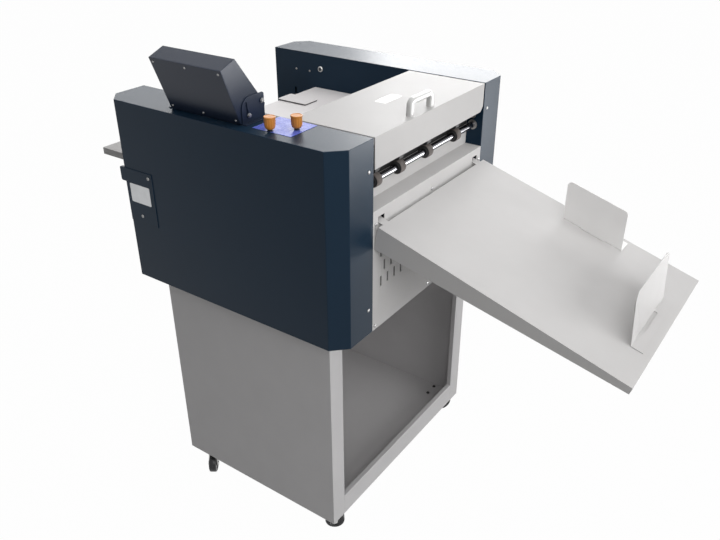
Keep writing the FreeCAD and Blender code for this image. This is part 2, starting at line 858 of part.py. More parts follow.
def side_frame(name, sign):
    """Frame plate with the seats of the bushes, the cover's hinge pin and the lift arm's slot."""
    low, high = (WALL, FRAME) if sign > 0 else (f"-{FRAME}", f"-{WALL}")
    plate = box((f"housing_sheet - {FRONT}", f"{FRONT} - housing_sheet"), (low, high),
                (f"{DECK} + pan_sheet", f"{TOP} - housing_sheet"))
    tools = [rod("y", (x, z), f"{radius} + bush_wall", (low, high)) for x, z, radius in SHAFTS]
    tools.append(rod("y", (HINGE_X, HINGE_Z), "hinge_pin_radius + running_fit", (low, high)))
    reach = "(arm_thickness / 2 + arm_slot_clearance)"
    tools.append(box((f"-lift_back - {reach}", f"-lift_back + {reach}"), (low, high),
                     (f"{TABLE_FOOT} - arm_slot_end", f"{TABLE_TOP} + lift_travel + arm_slot_end")))
    if sign > 0:
        tools.append(rod("y", LOCK_PLACE, "lock_barrel_radius", (low, high)))
        tools += [screw_hole("y", place, WALL, -1) for place in WALL_SCREWS]
    node(cut(plate, *tools), name)


def front_panel():
    """Front plate folded back into the shelf, with the vents and the tray's hook holes."""
    body = new_body()
    pad(body, "XZ_Plane", [
        (f"{FRONT} - front_sheet", DECK),
        (FRONT, DECK),
        (FRONT, SHELF),
        (f"{FRONT} - shelf_depth", SHELF),
        (f"{FRONT} - shelf_depth", f"{SHELF} - front_sheet"),
        (f"{FRONT} - front_sheet", f"{SHELF} - front_sheet"),
    ], f"-{WALL}", WALL)
    for sign in (-1, 1):
        centre = f"({sign} * hook_spacing / 2)"
        hole = rectangle((f"{centre} - hook_hole_width / 2", f"{centre} + hook_hole_width / 2"),
                         (HOOK_FOOT, f"{HOOK_FOOT} + hook_hole_height"))
        pocket(body, "YZ_Plane", hole, f"{FRONT} - front_sheet", FRONT)
    for row in range(3):
        vent_row(body, row)
    node(cut(body, *[screw_hole("x", place, FRONT, 1) for place in PANEL_SCREWS]), "front_panel")


def vent_row(body, row):
    """One row of upright vent slots; every other row is shifted by half a step."""
    centre = f"(vent_side - {WALL} + {row % 2} * vent_pitch)"
    foot = f"({DECK} + vent_rise + {row} * vent_row_pitch)"
    near, far = f"{centre} - vent_width / 2", f"{centre} + vent_width / 2"
    slot = pocket(body, "YZ_Plane", [
        (f"{near} + vent_corner", foot),
        (f"{far} - vent_corner", foot),
        (far, f"{foot} + vent_corner"),
        (far, f"{foot} + vent_height - vent_corner"),
        (f"{far} - vent_corner", f"{foot} + vent_height"),
        (f"{near} + vent_corner", f"{foot} + vent_height"),
        (near, f"{foot} + vent_height - vent_corner"),
        (near, f"{foot} + vent_corner"),
    ], f"{FRONT} - front_sheet", FRONT)
    pattern = body.newObject("PartDesign::LinearPattern", "VentRow")
    pattern.Originals = [slot]
    pattern.Direction = (slot.Profile[0], ["H_Axis"])
    count = f"vent_columns - {row % 2}"
    bind(pattern, Occurrences=count, Length=f"2 * vent_pitch * ({count} - 1)")
    body.Tip = pattern
    doc.recompute()


def delivery_guide():
    """Bent sheet that closes the gap between the anvil and the shelf behind the rollers."""
    face = f"({FRONT} - shelf_depth)"
    top = f"({BED} - guide_drop)"
    rear = "(crease_forward + anvil_depth / 2)"
    body = new_body()
    pad(body, "XZ_Plane", [
        (f"{face} - front_sheet", f"{SHELF} - guide_foot"),
        (face, f"{SHELF} - guide_foot"),
        (face, top),
        (rear, top),
        (rear, f"{top} - front_sheet"),
        (f"{face} - front_sheet", f"{top} - front_sheet"),
    ], f"-{WALL}", WALL)
    node(body, "delivery_guide")


def paper_bed():
    """Feed bed folded down at the rear into the wall that the pile rests against."""
    rear_inner = "(bed_sheet - bed_rear)"
    front = "(infeed_forward - drive_roller_radius - window_clearance)"
    body = new_body()
    pad(body, "XZ_Plane", [
        ("-bed_rear", f"{DECK} + pan_sheet"),
        (rear_inner, f"{DECK} + pan_sheet"),
        (rear_inner, f"{BED} - bed_sheet"),
        (front, f"{BED} - bed_sheet"),
        (front, BED),
        ("-bed_rear", BED),
    ], f"-{WALL}", WALL)
    reach = "(drive_roller_radius + window_clearance)"
    half = "(feed_roller_width / 2 + window_clearance)"
    window = rectangle((f"-feed_roller_back - {reach}", f"{reach} - feed_roller_back"),
                       (f"plate_side - {half}", f"plate_side + {half}"))
    pocket(body, "XY_Plane", window, f"{BED} - bed_sheet", BED)
    node(body, "paper_bed")


def hold_down_plate():
    """Cover plate over the feed roller's window."""
    foot = f"({BED} + plate_clearance)"
    body = new_body()
    pad(body, "XY_Plane", rectangle(("-plate_rear", "plate_length - plate_rear"),
                                    ("plate_side - plate_width / 2", "plate_side + plate_width / 2")),
        foot, f"{foot} + plate_thickness")
    rounded(body, "plate_corner", lambda edge: runs_along(edge, (0, 0, 1)))
    node(body, "hold_down_plate")


def creaser_rear_panel():
    """Sheet behind the creasing unit, above the slot that the paper goes in through."""
    foot = f"({BED} + slot_height)"
    body = new_body()
    pad(body, "XZ_Plane", [
        ("cover_rear", foot),
        ("cover_rear + rear_panel_foot", foot),
        ("cover_rear + rear_panel_foot", f"{foot} + cover_sheet"),
        ("cover_rear + cover_sheet", f"{foot} + cover_sheet"),
        ("cover_rear + cover_sheet", f"{TOP} - rear_panel_drop"),
        ("cover_rear", f"{TOP} - rear_panel_drop"),
    ], f"-{WALL}", WALL)
    node(body, "creaser_rear_panel")


# Creasing unit

def anvil_beam():
    """Lower beam with the matrix groove and the four posts that guide the creasing beam."""
    rear, front = "(crease_forward - anvil_depth / 2)", "(crease_forward + anvil_depth / 2)"
    beam = box((rear, front), (f"-{WALL}", WALL), (f"{ANVIL_TOP} - anvil_height", ANVIL_TOP))
    groove = box(("crease_forward - groove_width / 2", "crease_forward + groove_width / 2"),
                 (f"-{WALL}", WALL), (f"{ANVIL_TOP} - groove_depth", ANVIL_TOP))
    posts = []
    near = "(beam_depth / 2 + motion_gap)"
    for along in (-1, 1):
        faces = [f"(crease_forward + {along} * {near})",
                 f"(crease_forward + {along} * ({near} + post_depth))"]
        for across in (-1, 1):
            sides = [f"({across} * ({WALL} - post_side))", f"({across} * {WALL})"]
            posts.append(box(faces[::along], sides[::across], (ANVIL_TOP, f"{BEAM_TOP} + post_spare")))
    node(fuse(cut(beam, groove), *posts), "anvil_beam")


EYE_LEVEL = f"({CREASE_LEVEL} + crease_throw)"
EYE_BORE = "(eccentric_radius + 2 * crease_throw + motion_gap)"
EYE_RADIUS = f"({EYE_BORE} + eye_wall)"


def crease_beam():
    """Upper beam with the two eyes that the eccentrics work in."""
    end = f"({WALL} - motion_gap)"
    beam = box(("crease_forward - beam_depth / 2", "crease_forward + beam_depth / 2"), (f"-{end}", end),
               (BEAM_FOOT, BEAM_TOP))
    solids, bores = [beam], []
    for sign in (-1, 1):
        span = (f"{sign} * strap_side - strap_width / 2", f"{sign} * strap_side + strap_width / 2")
        solids.append(box(("crease_forward - eye_web / 2", "crease_forward + eye_web / 2"), span,
                          (BEAM_TOP, f"{EYE_LEVEL} - {EYE_BORE}")))
        solids.append(rod("y", ("crease_forward", EYE_LEVEL), EYE_RADIUS, span))
        bores.append(rod("y", ("crease_forward", EYE_LEVEL), EYE_BORE, span))
    node(cut(fuse(*solids), *bores), "crease_beam")


def crease_blade():
    blade = box(("crease_forward - blade_thickness / 2", "crease_forward + blade_thickness / 2"),
                ("-creasing_width / 2", "creasing_width / 2"), (f"{BED} + blade_lift", BEAM_FOOT))
    node(group(blade), "crease_blade")


def crease_shaft():
    """Shaft with an eccentric under each eye, driven from inside the left housing."""
    shaft = rod("y", ("crease_forward", CREASE_LEVEL), "crease_shaft_radius",
                (f"-{FRAME} - gearbox_reach + shaft_reach", f"{FRAME} + shaft_reach"))
    half = "(strap_width / 2 + cam_overhang)"
    cams = [rod("y", ("crease_forward", EYE_LEVEL), "eccentric_radius",
                (f"{sign} * strap_side - {half}", f"{sign} * strap_side + {half}"))
            for sign in (-1, 1)]
    node(fuse(shaft, *cams), "crease_shaft")


def return_springs():
    """Springs at both ends that lift the creasing beam off the sheet."""
    coils = [pipe("z", ("crease_forward", f"{sign} * spring_side"),
                  "spring_radius", "spring_radius - spring_wire", (ANVIL_TOP, BEAM_FOOT))
             for sign in (-1, 1)]
    node(group(*coils), "return_springs")


def crease_motor():
    """Geared motor on the outside of the left frame."""
    half = "(gearbox_width / 2)"
    gearbox = box((f"crease_forward - {half}", f"crease_forward + {half}"),
                  (f"-{FRAME} - gearbox_reach", f"-{FRAME}"),
                  (f"{CREASE_LEVEL} - {half}", f"{TOP} - housing_sheet - gearbox_gap"))
    can = rod("y", ("crease_forward", f"{CREASE_LEVEL} - gearbox_gap"), "motor_radius",
              (f"crease_motor_clearance + {HOUSING_WALL}", f"-{FRAME} - gearbox_reach"))
    seat = rod("y", ("crease_forward", CREASE_LEVEL), "bush_wall + crease_shaft_radius + motion_gap",
               (f"-{FRAME} - shaft_reach", f"-{FRAME}"))
    bore = rod("y", ("crease_forward", CREASE_LEVEL), "crease_shaft_radius + running_fit",
               (f"-{FRAME} - gearbox_reach + shaft_reach - motion_gap", f"-{FRAME}"))
    node(cut(fuse(gearbox, can), seat, bore), "crease_motor")


# Rollers, bushes and drive

DELIVERY_ROLLERS = [f"delivery_roller_{number}" for number in ("one", "two", "three", "four")]


def pulley_step(middle):
    return "pulley_radius", f"{middle} - pulley_width / 2", f"{middle} + pulley_width / 2"


def delivery_shaft():
    radius = "delivery_shaft_radius"
    inner, outer = pulley_step(INNER_BELT), pulley_step(OUTER_BELT)
    profile = stepped((radius, f"-{FRAME} - shaft_reach", inner[1]), inner, (radius, inner[2], outer[1]),
                      outer, (radius, outer[2], f"{outer[2]} + shaft_reach"))
    turned_node(profile, "delivery_shaft", DELIVERY, ROLLER_LEVEL)


def delivery_rollers():
    """Rubber rollers with bevelled edges, fixed on the delivery shaft."""
    rollers = []
    half = "delivery_roller_width / 2"
    bore = "delivery_shaft_radius + running_fit"
    for middle in DELIVERY_ROLLERS:
        roller = turned([
            (bore, f"-{half}"),
            ("drive_roller_radius - roller_edge", f"-{half}"),
            ("drive_roller_radius", f"roller_edge - {half}"),
            ("drive_roller_radius", f"{half} - roller_edge"),
            ("drive_roller_radius - roller_edge", half),
            (bore, half),
        ])
        roller.Placement.Rotation = ALONG_Y
        rollers.append(move(roller, DELIVERY, middle, ROLLER_LEVEL))
    node(group(*rollers), "delivery_rollers")


def pinch_rollers():
    """Idle shaft with one pressure roller above each delivery roller."""
    steps = []
    start = f"-{FRAME} - shaft_reach"
    for middle in DELIVERY_ROLLERS:
        low, high = f"{middle} - pinch_width / 2", f"{middle} + pinch_width / 2"
        steps += [("pinch_shaft_radius", start, low), ("pinch_radius", low, high)]
        start = high
    steps.append(("pinch_shaft_radius", start, f"{FRAME} + shaft_reach"))
    turned_node(stepped(*steps), "pinch_rollers", DELIVERY, PINCH_LEVEL)


def infeed_roller():
    shaft, half = "roller_shaft_radius", "roller_length / 2"
    inner, outer = pulley_step(INNER_BELT), pulley_step(OUTER_BELT)
    profile = stepped((shaft, f"-{FRAME} - shaft_reach", f"-{half}"),
                      ("drive_roller_radius", f"-{half}", half),
                      (shaft, half, inner[1]), inner, (shaft, inner[2], outer[1]), outer)
    turned_node(profile, "infeed_roller", "infeed_forward", ROLLER_LEVEL)


def infeed_pinch_roller():
    shaft, half = "pinch_shaft_radius", "roller_length / 2"
    profile = stepped((shaft, f"-{FRAME} - shaft_reach", f"-{half}"), ("pinch_radius", f"-{half}", half),
                      (shaft, half, f"{FRAME} + shaft_reach"))
    turned_node(profile, "infeed_pinch_roller", "infeed_forward", PINCH_LEVEL)


def feed_roller():
    shaft = "roller_shaft_radius"
    low, high = "plate_side - feed_roller_width / 2", "plate_side + feed_roller_width / 2"
    outer = pulley_step(OUTER_BELT)
    profile = stepped((shaft, f"-{FRAME} - shaft_reach", low), ("drive_roller_radius", low, high),
                      (shaft, high, outer[1]), outer)
    turned_node(profile, "feed_roller", "-feed_roller_back", ROLLER_LEVEL)


def motor_pulley():
    """Driving pulley on the motor's output shaft."""
    outer = pulley_step(OUTER_BELT)
    profile = stepped(outer, ("motor_shaft_radius", outer[2], f"{outer[2]} + shaft_reach"))
    turned_node(profile, "motor_pulley", DELIVERY, MOTOR_LEVEL)


def lift_shaft():
    """Cross shaft with a pinion at each rack."""
    radius = "lift_shaft_radius"
    near, far = f"({WALL} + carriage_offset)", f"({WALL} + carriage_offset + rack_width)"
    profile = stepped(("pinion_radius", f"-{far}", f"-{near}"), (radius, f"-{near}", near),
                      ("pinion_radius", near, far), (radius, far, f"{OUTER_BELT} + pulley_width"))
    turned_node(profile, "lift_shaft", LIFT_SHAFT_X, LIFT_LEVEL)


def shaft_bearings():
    """Flanged bushes pressed into both side frames."""
    bushes = []
    for x, z, radius in SHAFTS:
        for sign in (-1, 1):
            ends = [f"({sign} * ({WALL} - bush_flange_sheet))", f"({sign} * {WALL})",
                    f"({sign} * ({FRAME} + bush_flange_sheet))"]
            barrel = rod("y", (x, z), f"{radius} + bush_wall", ends[1:][::sign])
            flange = rod("y", (x, z), f"{radius} + bush_flange", ends[:2][::sign])
            bore = rod("y", (x, z), f"{radius} + running_fit", (ends[0], ends[2])[::sign])
            bushes.append(cut(fuse(barrel, flange), bore))
    node(group(*bushes), "shaft_bearings")


def belt(first, second, middle):
    """Loop round two equal pulleys, each given by its place along X and its level."""
    span = (f"{middle} - belt_width / 2", f"{middle} + belt_width / 2")

    def band(radius):
        below, above = f"{first[1]} - ({radius})", f"{first[1]} + {radius}"
        if first[1] == second[1]:
            between = box((first[0], second[0]), span, (below, above))
        else:
            between = box((f"{first[0]} - ({radius})", f"{first[0]} + {radius}"), span,
                          (first[1], second[1]))
        return fuse(between, rod("y", first, radius, span), rod("y", second, radius, span))

    inside = "pulley_radius + motion_gap"
    return cut(band(f"{inside} + belt_thickness"), band(inside))


def drive_belts():
    delivery, infeed = (DELIVERY, ROLLER_LEVEL), ("infeed_forward", ROLLER_LEVEL)
    feed, motor = ("-feed_roller_back", ROLLER_LEVEL), (DELIVERY, MOTOR_LEVEL)
    belts = (belt(infeed, delivery, INNER_BELT), belt(feed, infeed, OUTER_BELT),
             belt(motor, delivery, OUTER_BELT))
    node(group(*belts), "drive_belts")


def geared_motor(x, z, rear_reach, motor, shaft_radius):
    """Motor on a bent bracket that stands off the right frame, with its output shaft facing the frame."""
    plate_face = f"({OUTER_BELT} + pulley_width / 2 + 2 * motion_gap)"
    half = "(bracket_width / 2)"
    sides = (f"{x} - {rear_reach}", f"{x} + {half}")
    web_top = f"({z} - pulley_radius - bracket_sheet - 2 * belt_thickness)"
    bracket = fuse(
        box(sides, (FRAME, f"{FRAME} + bracket_sheet"), (f"{web_top} - bracket_width", web_top)),
        box(sides, (FRAME, f"{plate_face} + bracket_sheet"), (f"{web_top} - bracket_sheet", web_top)),
        box(sides, (plate_face, f"{plate_face} + bracket_sheet"),
            (f"{web_top} - bracket_sheet", f"{z} + {half}")),
        rod("y", (x, z), motor,
            (f"{plate_face} + bracket_sheet", f"{SIDE} - housing_sheet - drive_motor_clearance")),
    )
    return cut(bracket, rod("y", (x, z), f"{shaft_radius} + running_fit",
                            (plate_face, f"{plate_face} + bracket_sheet + shaft_reach")))


def drive_motors():
    """Transport motor below the delivery shaft and lift motor at the end of the lift shaft."""
    transport = geared_motor(DELIVERY, MOTOR_LEVEL, "bracket_width / 2", "motor_radius", "motor_shaft_radius")
    lift = geared_motor(LIFT_SHAFT_X, LIFT_LEVEL, "pinion_radius", "lift_motor_radius", "lift_shaft_radius")
    node(group(transport, lift), "drive_motors")


# Top cover and handle

def top_cover():
    """Hinged pan with a deep front apron, side flanges and a pivot pin in each hinge lug."""
    rear, front = "cover_rear", FRONT
    inner_rear, inner_front = "(cover_rear + cover_sheet)", f"({FRONT} - cover_sheet)"
    under = f"({TOP} - cover_sheet)"
    apron_foot = f"({TOP} - apron_height)"
    body = new_body()
    pad(body, "XZ_Plane", [
        (rear, f"{TOP} - cover_rear_flange"),
        (inner_rear, f"{TOP} - cover_rear_flange"),
        (inner_rear, under),
        (inner_front, under),
        (inner_front, apron_foot),
        (front, apron_foot),
        (front, TOP),
        (rear, TOP),
    ], f"-{COVER_SIDE}", COVER_SIDE)
    flange = [
        (inner_rear, f"{TOP} - lug_drop"),
        ("cover_rear + lug_length", f"{TOP} - lug_drop"),
        ("cover_rear + lug_length", f"{TOP} - cover_side_flange"),
        (inner_front, f"{TOP} - cover_side_flange"),
        (inner_front, under),
        (inner_rear, under),
    ]
    pad(body, "XZ_Plane", flange, f"{COVER_SIDE} - cover_sheet", COVER_SIDE)
    pad(body, "XZ_Plane", flange, f"-{COVER_SIDE}", f"cover_sheet - {COVER_SIDE}")
    pocket(body, "YZ_Plane", [
        (f"{COVER_SIDE} - apron_chamfer", apron_foot),
        (COVER_SIDE, apron_foot),
        (COVER_SIDE, f"{apron_foot} + apron_chamfer"),
    ], inner_front, front)
    pins = [rod("y", (HINGE_X, HINGE_Z), "hinge_pin_radius", span) for span in (
        (f"{COVER_SIDE} - cover_sheet", f"{FRAME} + shaft_reach"),
        (f"-{FRAME} - shaft_reach", f"cover_sheet - {COVER_SIDE}"))]
    node(fuse(body, *pins), "top_cover")


def cover_handle():
    """Bow handle at the cover's front edge."""
    near, far = "(handle_side - handle_length / 2)", "(handle_side + handle_length / 2)"
    crown = f"({TOP} + handle_rise)"
    middle = f"({FRONT} - handle_inset)"
    body = new_body()
    pad(body, "YZ_Plane", rectangle((near, far), (TOP, crown)),
        f"{middle} - handle_thickness / 2", f"{middle} + handle_thickness / 2")
    rounded(body, "handle_corner", lambda edge: runs_along(edge, (1, 0, 0)) and is_high(edge, body))
    window = rectangle((f"{near} + handle_leg", f"{far} - handle_leg"), (TOP, f"{crown} - handle_bar"))
    pocket(body, "YZ_Plane", window, f"{middle} - handle_thickness / 2", f"{middle} + handle_thickness / 2")
    inner_top = sheet.get("handle_rise") - sheet.get("handle_bar")
    foot = body.Shape.BoundBox.ZMin
    rounded(body, "handle_window_corner", lambda edge: runs_along(edge, (1, 0, 0))
            and abs(edge.CenterOfMass.z - foot - inner_top) < 1e-6)
    node(body, "cover_handle")


def is_high(edge, body):
    return edge.CenterOfMass.z > body.Shape.BoundBox.Center.z


def is_far(edge, body):
    return edge.CenterOfMass.y > body.Shape.BoundBox.Center.y


# Control screen

SCREEN_NEAR = "(-screen_back - screen_length / 2)"
SCREEN_FAR = "(screen_length / 2 - screen_back)"


def lean_back(item, name, y=SCREEN_FOOT_Y, z=SCREEN_FOOT_Z, extra="0"):
    """Set a piece that is drawn against an upright back at the screen's leaning angle."""
    turn(item, (1, 0, 0), f"screen_lean + {extra}")
    node(item, name, "0", y, z)


def screen_box():
    """Folded box with an open back, its pivot studs and the clamp studs of the tilt slots."""
    body = new_body()
    pad(body, "YZ_Plane", [
        ("0", "0"),
        ("screen_base_depth", "screen_base_rise"),
        ("screen_chin_depth", "screen_chin_rise"),
        ("screen_depth", "screen_height"),
        ("0", "screen_height"),
    ], SCREEN_NEAR, SCREEN_FAR)
    pocket(body, "YZ_Plane", [
        ("0", "2 * screen_sheet"),
        ("screen_base_depth - screen_sheet", "screen_base_rise + 2 * screen_sheet"),
        ("screen_chin_depth - 2 * screen_sheet", "screen_chin_rise"),
        ("screen_depth - 1.5 * screen_sheet", "screen_height - screen_sheet"),
        ("0", "screen_height - screen_sheet"),
    ], f"{SCREEN_NEAR} + screen_sheet", f"{SCREEN_FAR} - screen_sheet")
    studs = []
    reach = "(screen_bracket_sheet + 2 * motion_gap)"
    for end, sign in ((SCREEN_NEAR, -1), (SCREEN_FAR, 1)):
        outside = f"({end} + {sign} * {reach})"
        head = f"({outside} + {sign} * screw_head_height)"
        for place in (("screen_pivot_depth", "screen_pivot_rise"), CLAMP_LOCAL):
            studs.append(rod("x", place, "screen_stud_radius", (end, outside)[::sign]))
            studs.append(rod("x", place, "screen_stud_head", (outside, head)[::sign]))
    lean_back(fuse(body, *studs), "screen_box")


CLAMP_ANGLE = "(screen_slot_start + screen_tilt)"
CLAMP_LOCAL = (
    f"screen_pivot_depth + screen_slot_radius * cos({CLAMP_ANGLE} - screen_lean)",
    f"screen_pivot_rise + screen_slot_radius * sin({CLAMP_ANGLE} - screen_lean)",
)


def screen_back_plate():
    """Plate screwed over the open back."""
    plate = box((SCREEN_NEAR, SCREEN_FAR), ("-screen_plate", "0"), ("0", "screen_height"))
    lean_back(group(plate), "screen_back_plate")


def touch_screen():
    """Glass on the sloping front of the box."""
    slope = "(atan((screen_chin_depth - screen_depth) / (screen_height - screen_chin_rise)) / 1 deg)"
    length = f"((screen_height - screen_chin_rise) / cos({slope}))"
    glass = box((f"{SCREEN_NEAR} + screen_margin", f"{SCREEN_FAR} - screen_margin"),
                ("0", "glass_thickness"), (f"screen_margin - {length}", "-screen_margin"))
    top_y = f"{SCREEN_FOOT_Y} + screen_depth * cos(screen_lean) - screen_height * sin(screen_lean)"
    top_z = f"{SCREEN_FOOT_Z} + screen_depth * sin(screen_lean) + screen_height * cos(screen_lean)"
    lean_back(group(glass), "touch_screen", top_y, top_z, slope)


def screen_brackets():
    """Brackets on the housing with the pivot hole and the curved slot that sets the tilt."""
    brackets = []
    for end, sign in ((SCREEN_NEAR, -1), (SCREEN_FAR, 1)):
        near = f"({end} + {sign} * motion_gap)"
        far = f"({near} + {sign} * screen_bracket_sheet)"
        body = new_body()
        pad(body, "YZ_Plane", rectangle((f"screen_bracket_rear - {SIDE}", f"screen_bracket_front - {SIDE}"),
                                        (TOP, f"{TOP} + screen_bracket_height")), *(near, far)[::sign])
        rounded(body, "screen_bracket_corner",
                lambda edge: runs_along(edge, (1, 0, 0)) and is_high(edge, body) and not is_far(edge, body))
        rounded(body, "screen_bracket_front_corner",
                lambda edge: runs_along(edge, (1, 0, 0)) and is_high(edge, body) and is_far(edge, body))
        foot = box((far, f"{far} + {sign} * screen_bracket_foot")[::sign],
                   (f"screen_bracket_rear - {SIDE}", f"screen_bracket_front - {SIDE}"),
                   (TOP, f"{TOP} + screen_bracket_sheet"))
        hole = rod("x", (PIVOT_Y, PIVOT_Z), "screen_stud_radius + running_fit", (near, far)[::sign])
        brackets.append(cut(fuse(body, foot), hole, *tilt_slot((near, far)[::sign])))
    node(group(*brackets), "screen_brackets")


def tilt_slot(span):
    """Curved slot round the pivot, with a round end at each limit of the tilt."""
    half = "(screen_stud_radius + motion_gap)"
    sector = rod("x", (PIVOT_Y, PIVOT_Z), f"screen_slot_radius + {half}", span)
    bind(sector, Angle="screen_tilt")
    start_angle = 90 + sheet.get("screen_slot_start")
    sector.Placement.Rotation = FreeCAD.Rotation(FreeCAD.Vector(1, 0, 0), start_angle) * ALONG_X
    tools = [cut(sector, rod("x", (PIVOT_Y, PIVOT_Z), f"screen_slot_radius - {half}", span))]
    for angle in ("screen_slot_start", CLAMP_ANGLE):
        place = (f"{PIVOT_Y} + screen_slot_radius * cos({angle})",
                 f"{PIVOT_Z} + screen_slot_radius * sin({angle})")
        tools.append(rod("x", place, half, span))
    return tools


# Controls and small parts

def knob_panel():
    """Film-covered plate under the two knobs."""
    plate = box(("panel_rear", "panel_rear + panel_length"),
                (f"panel_inset - {SIDE}", f"panel_inset + panel_width - {SIDE}"),
                (TOP, f"{TOP} + panel_film"))
    holes = [rod("z", place, "knob_shaft_radius + running_fit", (TOP, f"{TOP} + panel_film"))
             for place in knob_places()]
    node(cut(plate, *holes), "knob_panel")


def adjusting_knob(name, x, y):
    """Tapered knob on a shaft that runs down through the housing's top."""
    foot, top = "knob_rise", "(knob_rise + knob_height)"
    body = turned([
        ("0", "-knob_shaft_depth"),
        ("knob_shaft_radius", "-knob_shaft_depth"),
        ("knob_shaft_radius", foot),
        ("knob_base_radius", foot),
        ("knob_radius", f"{top} - knob_edge"),
        ("knob_radius - knob_edge", top),
        ("0", top),
    ])
    node(body, name, x, y, TOP)


def service_cover():
    """Small cover near the rear of the left housing, with a thick grip past the chamfer's edge."""
    rear, front = "(-service_rear)", "(service_length - service_rear)"
    face = SERVICE_FACE
    foot = f"({DECK} + service_rise)"
    top = f"({foot} + service_height)"
    body = new_body()
    pad(body, "XY_Plane", rectangle((rear, front), (face, f"-{SIDE}")), foot, top)
    corner = f"(corner_chamfer - {FRONT})"
    tip = f"({corner} - service_grip_length)"
    back = f"(service_grip_depth - {SIDE})"
    pad(body, "XY_Plane", [
        (rear, f"-{SIDE}"),
        (corner, f"-{SIDE}"),
        (f"{corner} - service_grip_depth", back),
        (tip, back),
        (tip, face),
        (rear, face),
    ], f"{top} - service_grip_height", top)
    rounded(body, "service_grip_corner",
            lambda edge: runs_along(edge, (0, 1, 0)) and edge.BoundBox.XMax < body.Shape.BoundBox.XMin + 1)
    holes = [rod("y", place, "screw_radius + running_fit", (face, f"-{SIDE}")) for place in SERVICE_SCREWS]
    node(cut(body, *holes), "service_cover")


INLET_Y = f"(inlet_inset - {SIDE})"
INLET_Z = f"({DECK} + inlet_rise)"
SWITCH_Z = f"({INLET_Z} + switch_rise)"
SOCKET_Z = f"({INLET_Z} - socket_drop)"
INLET_FACE = f"(-{FRONT} - housing_sheet)"
LOCK_PLACE = ("-lock_back", f"({TOP} - lock_drop)")
SWITCH_X = f"({INLET_FACE} - switch_proud + switch_depth / 2)"


def inlet_block(half_width, half_height, span, level=INLET_Z):
    return box(span, (f"{INLET_Y} - {half_width}", f"{INLET_Y} + {half_width}"),
               (f"{level} - {half_height}", f"{level} + {half_height}"))


def power_inlet():
    """Inlet module in the rear of the left housing, with three pins and the switch's well."""
    lip = inlet_block("(inlet_width / 2 + inlet_lip)", "(inlet_height / 2 + inlet_lip)",
                      (INLET_FACE, f"-{FRONT}"))
    core = inlet_block("inlet_width / 2", "inlet_height / 2", (f"-{FRONT}", f"inlet_depth - {FRONT}"))
    socket = inlet_block("socket_width / 2", "socket_height / 2",
                         (INLET_FACE, f"{INLET_FACE} + socket_depth"), SOCKET_Z)
    well = inlet_block("(switch_width / 2 + motion_gap)", "(switch_length / 2 + switch_well)",
                       (INLET_FACE, f"{SWITCH_X} + switch_depth / 2 + switch_well"), SWITCH_Z)
    reach = "(switch_width / 2 + switch_pin_length + motion_gap)"
    axle = rod("y", (SWITCH_X, SWITCH_Z), "switch_pin_radius + running_fit",
               (f"{INLET_Y} - {reach}", f"{INLET_Y} + {reach}"))
    pins = []
    for across, up in ((-1, -1), (0, 1), (1, -1)):
        y, z = f"{INLET_Y} + {across} * contact_pitch", f"{SOCKET_Z} + {up} * contact_stagger"
        pins.append(box((f"{INLET_FACE} + contact_recess", f"{INLET_FACE} + socket_depth"),
                        (f"{y} - contact_width / 2", f"{y} + contact_width / 2"),
                        (f"{z} - contact_thickness / 2", f"{z} + contact_thickness / 2")))
    node(fuse(cut(fuse(lip, core), socket, well, axle), *pins), "power_inlet")


def rocker_switch():
    """Rocker with its two pivot pins."""
    half = "switch_width / 2"
    rocker = box((f"{SWITCH_X} - switch_depth / 2", f"{SWITCH_X} + switch_depth / 2"),
                 (f"{INLET_Y} - {half}", f"{INLET_Y} + {half}"),
                 (f"{SWITCH_Z} - switch_length / 2", f"{SWITCH_Z} + switch_length / 2"))
    axle = rod("y", (SWITCH_X, SWITCH_Z), "switch_pin_radius",
               (f"{INLET_Y} - {half} - switch_pin_length", f"{INLET_Y} + {half} + switch_pin_length"))
    node(fuse(rocker, axle), "rocker_switch")


def lock_plug():
    """Turning plug of the key lock, with its key slot."""
    plug = rod("y", LOCK_PLACE, "lock_plug_radius", (f"{WALL} - lock_ring_height", f"{WALL} + lock_depth"))
    slot = box((f"{LOCK_PLACE[0]} - lock_slot / 2", f"{LOCK_PLACE[0]} + lock_slot / 2"),
               (f"{WALL} - lock_ring_height", f"{WALL} + lock_ring_height"),
               (f"{LOCK_PLACE[1]} - lock_slot_length / 2", f"{LOCK_PLACE[1]} + lock_slot_length / 2"))
    node(cut(plug, slot), "lock_plug")


def case_fasteners():
    """Screws that show on the case, and the fixed ring of the key lock."""
    screws = [screw("x", place, FRONT, 1) for sign in (-1, 1) for place in housing_screws(sign)]
    screws += [screw("x", place, FRONT, 1) for place in PANEL_SCREWS]
    screws += [screw("y", place, WALL, -1) for place in WALL_SCREWS]
    screws += [screw("y", place, SERVICE_FACE, -1) for place in SERVICE_SCREWS]
    ring = cut(fuse(rod("y", LOCK_PLACE, "lock_ring_radius", (f"{WALL} - lock_ring_height", WALL)),
                    rod("y", LOCK_PLACE, "lock_barrel_radius", (WALL, f"{WALL} + lock_depth"))),
               rod("y", LOCK_PLACE, "lock_plug_radius + running_fit",
                   (f"{WALL} - lock_ring_height", f"{WALL} + lock_depth")))
    node(group(*screws, ring), "case_fasteners")


